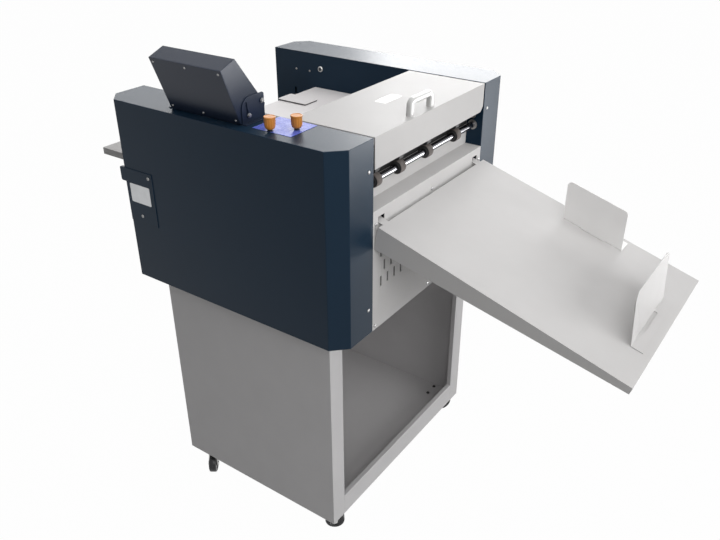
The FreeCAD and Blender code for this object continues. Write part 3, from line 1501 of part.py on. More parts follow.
def control_board():
    """Circuit board on standoffs at the left frame, and the power supply on the base pan."""
    face = f"(-{FRAME} - board_standoff)"
    foot = f"({DECK} + board_rise)"
    board = box(("-board_rear", "board_length - board_rear"), (f"{face} - board_thickness", face),
                (foot, f"{foot} + board_height"))
    posts = [rod("y", (x, z), "standoff_radius", (face, f"-{FRAME}"))
             for x in ("standoff_inset - board_rear", "board_length - board_rear - standoff_inset")
             for z in (f"{foot} + standoff_inset", f"{foot} + board_height - standoff_inset")]
    supply = box(("-supply_rear", "supply_length - supply_rear"),
                 (f"supply_clearance + {HOUSING_WALL}", f"-{FRAME} - supply_gap"),
                 (f"{DECK} + pan_sheet", f"{DECK} + pan_sheet + supply_height"))
    node(group(fuse(board, *posts), supply), "control_board")


# Feed table and lift

def feed_table():
    """Folded pile table with an arm, carriage and rack on each side."""
    front = "(-bed_rear - table_front_gap)"
    pan = box(("-table_rear", front), ("-table_width / 2", "table_width / 2"), (TABLE_FOOT, TABLE_TOP))
    hollow = box(("table_sheet - table_rear", f"{front} - table_sheet"),
                 ("table_sheet - table_width / 2", "table_width / 2 - table_sheet"),
                 (TABLE_FOOT, f"{TABLE_TOP} - table_sheet"))
    solids = [cut(pan, hollow)]
    bores = []
    middle = f"({TABLE_FOOT} + table_thickness / 2)"
    near, far = f"({WALL} + carriage_offset)", f"({WALL} + carriage_offset + carriage_width)"
    for sign in (-1, 1):
        solids.append(box(("-lift_back - arm_thickness / 2", "arm_thickness / 2 - lift_back"),
                          (f"{sign} * table_width / 2", f"{sign} * {near}")[::sign],
                          (TABLE_FOOT, TABLE_TOP)))
        solids.append(box(("-lift_back - carriage_length / 2", "carriage_length / 2 - lift_back"),
                          (f"{sign} * {near}", f"{sign} * {far}")[::sign],
                          (f"{middle} - carriage_height / 2", f"{middle} + carriage_height / 2")))
        solids.append(box(("carriage_length / 2 - lift_back", RACK_FACE),
                          (f"{sign} * {near}", f"{sign} * ({near} + rack_width)")[::sign],
                          (f"{LIFT_LEVEL} - lift_travel - rack_spare", f"{middle} + carriage_height / 2")))
        bores.append(rod("z", ("-lift_back", f"{sign} * ({near} + carriage_width / 2)"),
                         "lift_rod_radius + running_fit",
                         (f"{middle} - carriage_height / 2", f"{middle} + carriage_height / 2")))
    node(cut(fuse(*solids), *bores), "feed_table")


def lift_rods():
    rods = [rod("z", ("-lift_back", f"{sign} * ({WALL} + carriage_offset + carriage_width / 2)"),
                "lift_rod_radius", (f"{DECK} + pan_sheet", f"{TOP} - housing_sheet"))
            for sign in (-1, 1)]
    node(group(*rods), "lift_rods")


# Delivery tray, drawn level and hung on the hook holes at its slope

SHEET_TOP = "(tray_sheet / 2)"
SHEET_FOOT = "(-tray_sheet / 2)"
GUIDE_FOOT = f"({SHEET_TOP} + motion_gap)"
GUIDE_TOP = f"({GUIDE_FOOT} + tray_sheet)"
SLOT_TOP = f"({GUIDE_TOP} + tray_sheet / 2)"


def hang(item, name):
    turn(item, (0, 1, 0), "tray_slope")
    node(item, name, HOOK_X, "0", HOOK_Z)


def delivery_tray():
    """Sheet tray with two hooks, tapered side walls and an end flange."""
    half = "(tray_width / 2)"
    body = new_body()
    pad(body, "XY_Plane", rectangle(("tray_rear", "tray_end"), (f"-{half}", half)), SHEET_FOOT, SHEET_TOP)
    wall = [
        ("tray_rear", SHEET_FOOT),
        ("tray_rear + tray_rear_slant", "-tray_rear_depth"),
        ("tray_end", "-tray_end_depth"),
        ("tray_end", SHEET_FOOT),
    ]
    pad(body, "XZ_Plane", wall, f"{half} - tray_sheet", half)
    pad(body, "XZ_Plane", wall, f"-{half}", f"tray_sheet - {half}")
    pad(body, "XY_Plane", rectangle(("tray_end - tray_sheet", "tray_end"), (f"-{half}", half)),
        "-tray_end_depth", SHEET_FOOT)
    hook = [
        ("tray_rear", SHEET_TOP),
        ("-hook_length", SHEET_TOP),
        ("-hook_length", f"{SHEET_TOP} - hook_lip"),
        ("tray_sheet - hook_length", f"{SHEET_TOP} - hook_lip"),
        ("tray_sheet - hook_length", SHEET_FOOT),
        ("tray_rear", SHEET_FOOT),
    ]
    for sign in (-1, 1):
        middle = f"({sign} * hook_spacing / 2)"
        pad(body, "XZ_Plane", hook, f"{middle} - hook_width / 2", f"{middle} + hook_width / 2")
    hang(body, "delivery_tray")


def side_guide():
    """Upright sheet that stands on the tray beside the stack, its ends vertical."""
    slant = "(guide_height * tan(tray_slope))"
    rear, front = "guide_rear", "(guide_rear + guide_length)"
    body = new_body()
    pad(body, "XZ_Plane", [
        (rear, GUIDE_FOOT),
        (front, GUIDE_FOOT),
        (f"{front} - {slant}", f"{GUIDE_FOOT} + guide_height"),
        (f"{rear} - {slant}", f"{GUIDE_FOOT} + guide_height"),
    ], "guide_side", "guide_side + tray_sheet")
    rounded(body, "guide_corner", lambda edge: runs_along(edge, (0, 1, 0)) and is_high(edge, body))
    foot_near = "(guide_side + tray_sheet)"
    foot = box((rear, front), (foot_near, "guide_side + guide_foot_width"), (GUIDE_FOOT, GUIDE_TOP))
    across = ("guide_side", f"{foot_near} + guide_slot_width")
    slots = [box(span, across, (GUIDE_FOOT, SLOT_TOP)) for span in (
        (f"{rear} + tray_sheet", f"{rear} + tray_sheet + guide_slot_length"),
        (f"{front} - tray_sheet - guide_slot_length", f"{front} - tray_sheet"))]
    hang(cut(fuse(body, foot), *slots), "side_guide")


def end_stop():
    """Upright sheet across the tray's lower end, leaning slightly back from the vertical."""
    half = "(stop_width / 2)"
    upright = new_body()
    pad(upright, "YZ_Plane", rectangle((f"stop_side - {half}", f"stop_side + {half}"), ("0", "stop_height")),
        "0", "tray_sheet")
    rounded(upright, "stop_corner", lambda edge: runs_along(edge, (1, 0, 0)) and is_high(edge, upright))
    turn(upright, (0, -1, 0), "tray_slope + stop_lean")
    move(upright, "stop_forward", "0", GUIDE_FOOT)
    front = "(stop_forward + stop_foot)"
    foot = box(("stop_forward + stop_fold_inset", front), (f"stop_side - {half}", f"stop_side + {half}"),
               (GUIDE_FOOT, GUIDE_TOP))
    slot = box(("stop_forward - tray_sheet", "stop_forward + 2 * tray_sheet + guide_slot_width"),
               ("stop_side - stop_slot_length / 2", "stop_side + stop_slot_length / 2"),
               (GUIDE_FOOT, SLOT_TOP))
    hang(cut(fuse(upright, foot), slot), "end_stop")


def build():
    for side, sign in SIDES:
        cabinet_side_panel(f"cabinet_{side}_panel", sign)
        side_frame(f"{side}_side_frame", sign)
    for name, x, y, heading in caster_places():
        caster_fork(name, x, y, heading)
        caster_wheel(name, x, y, heading)
    for piece in (cabinet_floor, cabinet_back_panel, caster_plates, base_pan, left_housing, right_housing,
                  front_panel, delivery_guide, paper_bed, hold_down_plate, creaser_rear_panel, anvil_beam,
                  crease_beam, crease_blade, crease_shaft, return_springs, crease_motor, delivery_shaft,
                  delivery_rollers, pinch_rollers, infeed_roller, infeed_pinch_roller, feed_roller,
                  motor_pulley, lift_shaft, shaft_bearings, drive_belts, drive_motors, top_cover,
                  cover_handle, screen_box, screen_back_plate, touch_screen, screen_brackets, knob_panel,
                  service_cover, power_inlet, rocker_switch, lock_plug, case_fasteners, control_board,
                  feed_table, lift_rods, delivery_tray, side_guide, end_stop):
        piece()
    for number, (x, y) in enumerate(knob_places(), start=1):
        adjusting_knob(f"adjusting_knob_{number}", x, y)


def export():
    """Check every object, then write each sub-part to its own file."""
    doc.recompute()
    for item in doc.Objects:
        if "Invalid" in item.State or "Error" in item.State:
            raise RuntimeError(f"{item.Name} ({item.Label}) failed: {item.State}")
    for item in nodes:
        if item.Shape.isNull() or not item.Shape.isValid() or not item.Shape.Solids:
            raise RuntimeError(f"{item.Label} has no valid solid")
    os.makedirs("parts", exist_ok=True)
    for item in nodes:
        item.Shape.exportStep(f"parts/{item.Label}.step")


build()
export()
print(f"{len(nodes)} nodes written")
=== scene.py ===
"""Looks of a floor-standing paper creasing machine, laid out as an add-on and run as a script.

Lengths are in metres. X runs with the paper towards the delivery tray, Y towards the drive side, Z up.
"""
import json
import math

import bmesh
import bpy
from bpy.props import FloatProperty, FloatVectorProperty, IntProperty, PointerProperty
from mathutils import Matrix, Vector


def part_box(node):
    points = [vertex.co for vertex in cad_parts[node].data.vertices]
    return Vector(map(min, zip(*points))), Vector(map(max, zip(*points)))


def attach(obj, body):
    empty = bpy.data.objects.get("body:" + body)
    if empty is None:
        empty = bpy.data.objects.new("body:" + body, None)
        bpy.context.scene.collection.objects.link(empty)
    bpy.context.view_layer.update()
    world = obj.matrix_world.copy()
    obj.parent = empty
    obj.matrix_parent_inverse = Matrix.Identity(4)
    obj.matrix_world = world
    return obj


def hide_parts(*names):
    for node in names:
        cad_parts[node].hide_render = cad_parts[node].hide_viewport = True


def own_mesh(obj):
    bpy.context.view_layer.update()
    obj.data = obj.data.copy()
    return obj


bl_info = {
    "name": "Paper creasing machine",
    "version": (1, 0, 0),
    "blender": (4, 5, 0),
    "location": "View3D > Sidebar > Creaser",
    "description": "Builds the visible pieces of a paper creasing machine round its packed frame",
    "category": "Object",
}

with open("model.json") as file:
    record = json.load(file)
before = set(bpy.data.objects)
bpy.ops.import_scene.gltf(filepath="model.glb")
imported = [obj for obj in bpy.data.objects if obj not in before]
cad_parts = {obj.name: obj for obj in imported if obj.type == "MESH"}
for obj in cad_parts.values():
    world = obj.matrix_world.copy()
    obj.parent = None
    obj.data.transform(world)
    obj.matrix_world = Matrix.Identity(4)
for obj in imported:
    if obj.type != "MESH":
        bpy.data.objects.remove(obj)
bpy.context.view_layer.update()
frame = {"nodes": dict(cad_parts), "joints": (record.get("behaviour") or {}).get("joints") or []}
NODES = frame["nodes"]

MM = 0.001
WELD = 2e-6
FLAT_ANGLE = math.radians(1)
SHARP_ANGLE = math.radians(28)
QUARTER = math.radians(90)
FRONT_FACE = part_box("left_housing")[1][0]
TOP_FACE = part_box("left_housing")[1][2]
WALL_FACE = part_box("right_side_frame")[0][1]
SCREEN_LEAN = math.radians(20.6)
STICKER_SHEET = 0.2 * MM
LONGEST_TURNED = 500 * MM
DUST = (0.45, 0.43, 0.41)
NARROW = 2.5
RIB_STEPS = 4
FLUTE_STEPS = 6
STUD_PLACES = ((-252.9 * MM, 1096.65 * MM), (-292.67 * MM, 1075.52 * MM))


# Sizes and colours a user may change

def colour(name, description, value):
    return FloatVectorProperty(name=name, description=description, default=value, size=3,
                               min=0.0, max=1.0, subtype="COLOR")


def length(name, description, millimetres):
    return FloatProperty(name=name, description=description, default=millimetres * MM, min=0.0,
                         unit="LENGTH", precision=5)


class CreaserColours(bpy.types.PropertyGroup):
    """Colours of the finishes"""
    navy: colour("Housing enamel", "Textured powder coat of the housings", (0.0065, 0.0205, 0.040))
    screen: colour("Screen enamel", "Powder coat of the screen and its brackets", (0.011, 0.018, 0.036))
    light: colour("Panel enamel", "Powder coat of the panels and the delivery guide", (0.62, 0.61, 0.605))
    # Darker than the panel enamel: painted shade that offsets the brighter light and sheen on the top cover.
    cover: colour("Cover enamel", "Powder coat of the top cover", (0.535, 0.525, 0.52))
    # Paler than the panel enamel: painted light for the bed, which sits in shade between the housings.
    bed: colour("Bed enamel", "Powder coat of the paper bed and raised plate", (0.81, 0.785, 0.785))
    tray: colour("Tray enamel", "Powder coat of the delivery tray and feed table", (0.58, 0.57, 0.565))
    # Whiter than the tray enamel, partly the guide's own paint and partly painted light for the extra light
    # on the guide.
    guide: colour("Guide enamel", "White powder coat of the tray's side guide", (0.93, 0.92, 0.91))
    cabinet: colour("Cabinet enamel", "Powder coat of the cabinet", (0.54, 0.53, 0.535))
    orange: colour("Knobs", "Moulded plastic of the adjusting knobs", (0.62, 0.235, 0.032))
    film: colour("Film", "Film under the adjusting knobs", (0.13, 0.17, 0.64))
    tread: colour("Roller tread", "Rubber of the paper rollers", (0.080, 0.063, 0.055))
    # This rubber also colours the black pads and strips that paint shade under the raised plate, under the
    # apron and behind the vents.
    rubber: colour("Rubber", "Rubber of roller sides, belts, pads and strips", (0.018, 0.018, 0.019))
    steel: colour("Steel", "Zinc plated steel", (0.56, 0.56, 0.55))
    chrome: colour("Ground steel", "Ground and polished shafts", (0.22, 0.22, 0.235))
    screw: colour("Screws", "Dulled zinc of the screws", (0.30, 0.30, 0.30))
    dark: colour("Dark steel", "Blackened steel of the lock's plug", (0.07, 0.07, 0.075))
    tool: colour("Tool steel", "Hardened creasing tools", (0.10, 0.10, 0.105))
    cast: colour("Die casting", "Cast motor and gear housings", (0.42, 0.42, 0.43))
    bronze: colour("Bushes", "Tinned bronze of the shaft bushes", (0.50, 0.49, 0.47))
    board: colour("Board", "Solder mask of the circuit board", (0.012, 0.12, 0.045))
    plastic: colour("Black plastic", "Mains inlet, switch and caster wheels", (0.016, 0.016, 0.018))
    handle: colour("Handle", "Silver enamel of the cover handle", (0.60, 0.60, 0.59))
    sticker: colour("Sticker", "Blank sticker on the cover", (0.84, 0.80, 0.78))
    label: colour("Rating plate", "Blank metal plate on the service cover", (0.55, 0.56, 0.57))


class CreaserSizes(bpy.types.PropertyGroup):
    """Sizes of the finishing details"""
    fold: length("Fold radius", "Rounding along the folds of the sheet metal", 1.4)
    rim: length("Rim radius", "Rounding along the cut edges of the sheet metal", 0.45)
    small: length("Small edge", "Rounding of small machined and moulded pieces", 0.4)
    head: length("Screw head", "Radius of the pan heads", 4)
    wall_head: length("Wall screw head", "Radius of the heads inside the throat", 2.9)
    small_head: length("Small screw head", "Radius of the heads on the screen's back plate", 2.6)
    stud_head: length("Stud washer", "Radius of the washers at the ends of the screen", 4.8)
    grain: length("Grain", "Spacing of the texture in the powder coat", 1.1)
    coil_wire: length("Spring wire", "Radius of the spring wire", 0.8)
    coil_turns: FloatProperty(name="Spring turns", description="Turns of each spring", default=6.0, min=1.0)
    flutes: IntProperty(name="Knob flutes", description="Grip flutes round each knob", default=14, min=3)
    ribs: IntProperty(name="Roller ribs", description="Ribs round each delivery roller", default=60, min=8)
    handle_corner: length("Handle corner", "Bend radius at the handle's corners", 11)
    handle_round: length("Handle rounding", "Rounding of the handle's section", 4.5)
    sticker_corner: length("Sticker corner", "Corner radius of the sticker and the rating plate", 3)


def sizes():
    return bpy.context.scene.creaser_sizes


def colours():
    return bpy.context.scene.creaser_colours


# Node trees

def feed(tree, node, inputs):
    """Fills a node's inputs with values, outputs, or nodes that stand for their first output."""
    for name, value in inputs.items():
        if isinstance(value, bpy.types.Node):
            value = value.outputs[0]
        if isinstance(value, bpy.types.NodeSocket):
            tree.links.new(value, node.inputs[name])
        else:
            node.inputs[name].default_value = value


def add(tree, kind, inputs=None, **settings):
    """One node with its settings and inputs."""
    node = tree.nodes.new(kind)
    for name, value in settings.items():
        setattr(node, name, value)
    feed(tree, node, inputs or {})
    return node


def maths(tree, operation, *values):
    """A Math node over its values."""
    return add(tree, "ShaderNodeMath", dict(enumerate(values)), operation=operation)


def new_tree(name, **sockets):
    """An empty Geometry Nodes tree, with its geometry, its named inputs and its material."""
    tree = bpy.data.node_groups.new(name, "GeometryNodeTree")
    for label, kind in (("Geometry", "Geometry"), *sockets.items(), ("Material", "Material")):
        tree.interface.new_socket(name=label, in_out="INPUT", socket_type=f"NodeSocket{kind}")
    tree.interface.new_socket(name="Geometry", in_out="OUTPUT", socket_type="NodeSocketGeometry")
    return tree, tree.nodes.new("NodeGroupInput").outputs


def close_tree(tree, given, geometry):
    """Every tree ends in real geometry with its material set."""
    real = add(tree, "GeometryNodeRealizeInstances", {"Geometry": geometry})
    painted = add(tree, "GeometryNodeSetMaterial", {"Geometry": real, "Material": given["Material"]})
    add(tree, "NodeGroupOutput", {"Geometry": painted})
    return tree


def grown(name, tree, base_mesh, **values):
    """Plain mesh that a tree makes from a base mesh."""
    base = link(bpy.data.objects.new(f"{name}_base", base_mesh))
    modifier = base.modifiers.new("build", "NODES")
    modifier.node_group = tree
    for item in tree.interface.items_tree:
        if item.in_out == "INPUT" and item.name in values:
            modifier[item.identifier] = values[item.name]
    bpy.context.view_layer.update()
    evaluated = base.evaluated_get(bpy.context.evaluated_depsgraph_get())
    mesh = bpy.data.meshes.new_from_object(evaluated)
    bpy.data.objects.remove(base)
    if not mesh.vertices:
        raise RuntimeError(f"the tree of {name} made nothing")
    mesh.name = name
    return mesh


def repeat_tree():
    """Sets one piece on every point, turned to the point's facing, with a random turn about its own axis."""
    tree, given = new_tree("repeated_pieces", Piece="Object", Size="Float", Spin="Float", Seed="Int")
    facing = add(tree, "GeometryNodeInputNamedAttribute", {"Name": "facing"}, data_type="FLOAT_VECTOR")
    aimed = add(tree, "FunctionNodeAlignRotationToVector", {"Vector": facing.outputs["Attribute"]}, axis="Z")
    spin = add(tree, "FunctionNodeRandomValue", {"Seed": given["Seed"], 3: given["Spin"]}, data_type="FLOAT")
    about = add(tree, "ShaderNodeCombineXYZ", {"Z": spin.outputs[1]})
    turn = add(tree, "FunctionNodeRotateRotation", {"Rotation": aimed, "Rotate By": about},
               rotation_space="LOCAL")
    piece = add(tree, "GeometryNodeObjectInfo", {"Object": given["Piece"]})
    placed = add(tree, "GeometryNodeInstanceOnPoints", {
        "Points": given["Geometry"], "Instance": piece.outputs["Geometry"], "Rotation": turn,
        "Scale": given["Size"]})
    return close_tree(tree, given, placed)


def coil_tree():
    """A round wire coil standing on every point."""
    tree, given = new_tree("wire_coils", Radius="Float", Wire="Float", Height="Float", Turns="Float")
    path = add(tree, "GeometryNodeCurveSpiral", {
        "Resolution": 20, "Rotations": given["Turns"], "Start Radius": given["Radius"],
        "End Radius": given["Radius"], "Height": given["Height"]})
    section = add(tree, "GeometryNodeCurvePrimitiveCircle", {"Resolution": 10, "Radius": given["Wire"]})
    wire = add(tree, "GeometryNodeCurveToMesh", {"Curve": path, "Profile Curve": section, "Fill Caps": True})
    placed = add(tree, "GeometryNodeInstanceOnPoints", {"Points": given["Geometry"], "Instance": wire})
    return close_tree(tree, given, placed)


def bar_tree():
    """A bar of rounded rectangular section that follows a path with rounded bends."""
    tree, given = new_tree("bent_bar", Width="Float", Thickness="Float", Bend="Float", Rounding="Float")
    path = add(tree, "GeometryNodeMeshToCurve", {"Mesh": given["Geometry"]})
    bent = add(tree, "GeometryNodeFilletCurve", {"Curve": path, "Radius": given["Bend"], "Count": 10},
               mode="POLY")
    section = add(tree, "GeometryNodeCurvePrimitiveQuadrilateral",
                  {"Width": given["Width"], "Height": given["Thickness"]})
    soft = add(tree, "GeometryNodeFilletCurve", {"Curve": section, "Radius": given["Rounding"], "Count": 6},
               mode="POLY")
    bar = add(tree, "GeometryNodeCurveToMesh", {"Curve": bent, "Profile Curve": soft, "Fill Caps": True})
    return close_tree(tree, given, bar)


# Finishes

def new_finish(name, values=None):
    """A material with plain values set on its shader, and its tree."""
    material = bpy.data.materials.new(name)
    material.use_nodes = True
    tree = material.node_tree
    feed(tree, tree.nodes["Principled BSDF"], values or {})
    return material, tree


def coated(material, tone, roughness, height=None, depth=0.0, strength=1.0):
    """The material with its colour, its roughness and, where it has one, the relief of its surface."""
    tree = material.node_tree
    surface = {"Base Color": tone, "Roughness": roughness}
    if height:
        surface["Normal"] = add(tree, "ShaderNodeBump",
                                {"Height": height, "Distance": depth, "Strength": strength})
    feed(tree, tree.nodes["Principled BSDF"], surface)
    return material


def place_on(tree, stretch=(1, 1, 1)):
    """The object's own coordinates, stretched."""
    where = add(tree, "ShaderNodeTexCoord").outputs["Object"]
    return add(tree, "ShaderNodeMapping", {"Vector": where, "Scale": stretch})


def noise(tree, where, spacing, detail=3.0, roughness=0.55):
    """Noise whose grain has the given spacing in metres."""
    return add(tree, "ShaderNodeTexNoise", {
        "Vector": where, "Scale": 1 / spacing, "Detail": detail, "Roughness": roughness}).outputs["Fac"]


def between(tree, factor, low=0.0, high=1.0, start=0.3, end=0.7):
    """A factor's range from start to end, brought to the range from low to high."""
    return add(tree, "ShaderNodeMapRange", {
        "Value": factor, "From Min": start, "From Max": end, "To Min": low, "To Max": high})


def over(tree, factor, below, above):
    """One colour laid over another by a factor."""
    return add(tree, "ShaderNodeMix", {"Factor": factor, 6: below, 7: above}, data_type="RGBA").outputs[2]


def shade(tone, factor=1.0):
    return (*(min(1.0, part * factor) for part in tone), 1)


def powder_coat(name, tone, grain, depth, roughness, wear, speck=0.05, specular=0.5):
    """Powder coat with its fine texture, faint mottling and paler worn edges."""
    material, tree = new_finish(name, {"Specular IOR Level": specular})
    where = place_on(tree)
    broad = noise(tree, where, 90 * MM, 2.0)
    fine = noise(tree, where, grain, 4.0, 0.6)
    edges = add(tree, "ShaderNodeNewGeometry").outputs["Pointiness"]
    base = over(tree, between(tree, broad), shade(tone, 0.98), shade(tone, 1.015))
    flecked = over(tree, between(tree, fine, 0.0, speck, 0.52, 0.75), base, shade(tone, 1.6))
    worn = over(tree, between(tree, edges, 0.0, wear, 0.53, 0.62), flecked, shade(tone, 1.9))
    return coated(material, worn, between(tree, fine, roughness - 0.06, roughness + 0.08), fine, depth)


def plated(name, tone, roughness, stretch, spacing, variation=0.12, metallic=1.0):
    """Bare or plated metal with the fine lines of its rolling, turning or grinding."""
    material, tree = new_finish(name, {"Metallic": metallic})
    lines = noise(tree, place_on(tree, stretch), spacing, 5.0, 0.65)
    cloud = noise(tree, place_on(tree), 14 * MM, 2.0)
    dull, bright = shade(tone, 1 - variation), shade(tone, 1 + variation / 2)
    clouded = over(tree, between(tree, cloud), dull, bright)
    lined = over(tree, between(tree, lines, 0.0, 0.18), clouded, shade(tone, 0.7))
    gloss = between(tree, lines, roughness * 0.75, roughness * 1.35)
    return coated(material, lined, gloss, lines, 0.00002, 0.5)


def moulded(name, tone, roughness, grain, depth, dust=0.06, coat=0.0, specular=0.5):
    """Moulded plastic or rubber with its surface grain and a trace of dust."""
    material, tree = new_finish(name, {"Coat Weight": coat, "Coat Roughness": 0.08,
                                       "Specular IOR Level": specular})
    where = place_on(tree)
    fine = noise(tree, where, grain, 4.0, 0.6)
    broad = noise(tree, where, 22 * MM, 3.0)
    base = over(tree, between(tree, fine), shade(tone, 0.85), shade(tone, 1.12))
    dusty = over(tree, between(tree, broad, 0.0, dust, 0.45, 0.75), base, shade(DUST))
    return coated(material, dusty, between(tree, broad, roughness - 0.05, roughness + 0.07), fine, depth)


def smeared_glass(name):
    """Dark display glass with faint finger smears in its gloss."""
    material, tree = new_finish(name, {"Coat Weight": 0.6, "Coat Roughness": 0.04, "IOR": 1.5})
    smear = noise(tree, place_on(tree), 28 * MM, 6.0, 0.6)
    base = over(tree, between(tree, smear), shade((0.006, 0.007, 0.009)), shade((0.016, 0.018, 0.022)))
    return coated(material, base, between(tree, smear, 0.05, 0.16))


def circuit_board(name, tone):
    """Solder mask over the paths of the copper."""
    material, tree = new_finish(name)
    cells = add(tree, "ShaderNodeTexVoronoi", {"Vector": place_on(tree), "Scale": 1 / (9 * MM)},
                distance="MANHATTAN", feature="F1").outputs["Distance"]
    paths_per_cell = 9.0
    ring = maths(tree, "FRACT", maths(tree, "MULTIPLY", cells, paths_per_cell))
    copper = between(tree, ring, 0.0, 1.0, 0.42, 0.58)
    base = over(tree, copper, shade(tone, 0.8), shade(tone, 1.9))
    return coated(material, base, between(tree, copper, 0.32, 0.5, 0.0, 1.0), copper, 0.00004)


FINISHES = {}


def mix_finishes():
    """All finishes under the names the pieces ask for, each with the values of its recipe in order."""
    tone, grain = colours(), sizes().grain

    def mix(recipe, name, *values):
        FINISHES[name] = recipe(name, *values)

    mix(powder_coat, "navy_enamel", tone.navy, grain, 0.00005, 0.34, 0.35, 0.10, 0.13)
    mix(powder_coat, "screen_enamel", tone.screen, grain * 0.7, 0.00003, 0.38, 0.35, 0.06, 0.24)
    mix(powder_coat, "light_enamel", tone.light, grain * 0.8, 0.00003, 0.42, 0.06, 0.02, 0.04)
    mix(powder_coat, "cover_enamel", tone.cover, grain * 0.8, 0.00003, 0.42, 0.06, 0.02, 0.06)
    mix(powder_coat, "bed_enamel", tone.bed, grain * 0.8, 0.00002, 0.40, 0.05, 0.02, 0.10)
    mix(powder_coat, "tray_enamel", tone.tray, grain * 0.8, 0.00003, 0.42, 0.08, 0.03, 0.04)
    mix(powder_coat, "guide_enamel", tone.guide, grain * 0.6, 0.00002, 0.40, 0.04, 0.02, 0.05)
    mix(powder_coat, "cabinet_enamel", tone.cabinet, grain * 0.8, 0.00003, 0.45, 0.08, 0.03, 0.35)
    mix(powder_coat, "handle_grey", tone.handle, grain * 0.5, 0.00002, 0.33, 0.10, 0.05)
    mix(plated, "zinc_steel", tone.steel, 0.34, (1, 1, 1), 3 * MM)
    mix(plated, "ground_steel", tone.chrome, 0.13, (1, 0.04, 1), 0.6 * MM, 0.04)
    mix(plated, "screw_zinc", tone.screw, 0.40, (1, 1, 1), 0.8 * MM)
    mix(plated, "dark_steel", tone.dark, 0.36, (1, 1, 1), 0.8 * MM)
    mix(plated, "tool_steel", tone.tool, 0.30, (1, 0.03, 1), 0.5 * MM)
    mix(powder_coat, "cast_metal", tone.cast, grain * 1.4, 0.00012, 0.55, 0.2, 0.08)
    mix(plated, "tinned_bronze", tone.bronze, 0.38, (1, 1, 1), 1.2 * MM)
    mix(plated, "rating_plate", tone.label, 0.36, (0.04, 1, 1), 0.5 * MM, 0.05, 0.75)
    mix(moulded, "black_rubber", tone.rubber, 0.68, 0.7 * MM, 0.00005, 0.10)
    mix(moulded, "roller_rubber", tone.tread, 0.75, 0.6 * MM, 0.00008, 0.22)
    mix(moulded, "black_plastic", tone.plastic, 0.42, 0.5 * MM, 0.00002)
    mix(moulded, "wheel_tyre", tone.plastic, 0.30, 0.8 * MM, 0.00003, 0.0, 0.0, 0.35)
    mix(moulded, "orange_plastic", tone.orange, 0.42, 0.9 * MM, 0.00002, 0.02, 0.05)
    mix(moulded, "blue_film", tone.film, 0.26, 1.4 * MM, 0.00001, 0.02, 0.0, 0.14)
    mix(moulded, "sticker", tone.sticker, 0.4, 1.0 * MM, 0.00001, 0.03, 0.2)
    mix(smeared_glass, "screen_glass")
    mix(circuit_board, "circuit_board", tone.board)


# Meshes

def link(piece):
    bpy.context.scene.collection.objects.link(piece)
    return piece


def shown(name, mesh, body, finish, stands_for=()):
    """A finished piece on its body, with its finish and the CAD nodes it stands for."""
    if finish:
        mesh.materials.clear()
        mesh.materials.append(FINISHES[finish])
    piece = link(bpy.data.objects.new(name, mesh))
    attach(piece, body)
    if stands_for:
        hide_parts(*stands_for)
    return piece


def to_mesh(name, surface, smooth=SHARP_ANGLE):
    mesh = bpy.data.meshes.new(name)
    surface.to_mesh(mesh)
    surface.free()
    mesh.shade_smooth()
    mesh.set_sharp_from_angle(angle=smooth)
    return mesh


def merged(node):
    """A CAD node's surface with its loose triangles joined."""
    surface = bmesh.new()
    surface.from_mesh(NODES[node].data)
    bmesh.ops.remove_doubles(surface, verts=surface.verts, dist=WELD)
    return surface


def islands(surface):
    """Lists of the vertices that hang together."""
    left, found = set(surface.verts), []
    while left:
        group, edge = [], [left.pop()]
        while edge:
            vertex = edge.pop()
            group.append(vertex)
            others = left & {line.other_vert(vertex) for line in vertex.link_edges}
            left -= others
            edge.extend(others)
        found.append(group)
    return found


def corners(vertices):
    low = Vector([min(v.co[i] for v in vertices) for i in range(3)])
    high = Vector([max(v.co[i] for v in vertices) for i in range(3)])
    return low, high


def solid_boxes(node):
    """Lowest and highest corner of each solid in a CAD node, in a steady order."""
    surface = merged(node)
    boxes = [corners(group) for group in islands(surface)]
    surface.free()
    return sorted(boxes, key=lambda box: tuple(round(part, 5) for part in box[0]))


def narrowness(face):
    return 2 * face.calc_area() / max(face.calc_perimeter(), WELD)


def weigh_edges(surface, radius, rim, shortest):
    """Weights for rounding: full along broad faces, less along the cut rims of a sheet."""
    weight = surface.edges.layers.float.new("bevel_weight_edge")
    for edge in surface.edges:
        sharp = len(edge.link_faces) == 2 and edge.calc_face_angle(0.0) >= SHARP_ANGLE
        if sharp and edge.calc_length() >= shortest:
            narrow = min(narrowness(face) for face in edge.link_faces)
            edge[weight] = 1.0 if narrow > NARROW * radius else rim / radius


def dressed(node, body, finish, radius=None, rim=None, shortest=6 * MM, keep=None):
    """A copy of a CAD node with its flat faces whole and its edges rounded, which stands for it."""
    radius = radius or sizes().small
    surface = merged(node)
    if keep:
        gone = [v for group in islands(surface) if not keep(*corners(group)) for v in group]
        bmesh.ops.delete(surface, geom=gone, context="VERTS")
    bmesh.ops.dissolve_limit(surface, angle_limit=FLAT_ANGLE, verts=surface.verts, edges=surface.edges)
    weigh_edges(surface, radius, rim or radius, shortest)
    piece = shown(f"{node}_dressed", to_mesh(node, surface), body, finish, (node,))
    bevel = piece.modifiers.new("edges", "BEVEL")
    bevel.width = radius
    bevel.segments = 3
    bevel.limit_method = "WEIGHT"
    bevel.harden_normals = True
    bevel.use_clamp_overlap = True


def turned(node, body, finish):
    """A CAD node of round pieces, whose edges stay as they are."""
    dressed(node, body, finish, shortest=LONGEST_TURNED)


def bare(node, finish):
    """A CAD node that shows as it is, in its finish."""
    mesh = NODES[node].data
    for index in range(len(mesh.materials)):
        mesh.materials[index] = FINISHES[finish]
    if not mesh.materials:
        mesh.materials.append(FINISHES[finish])


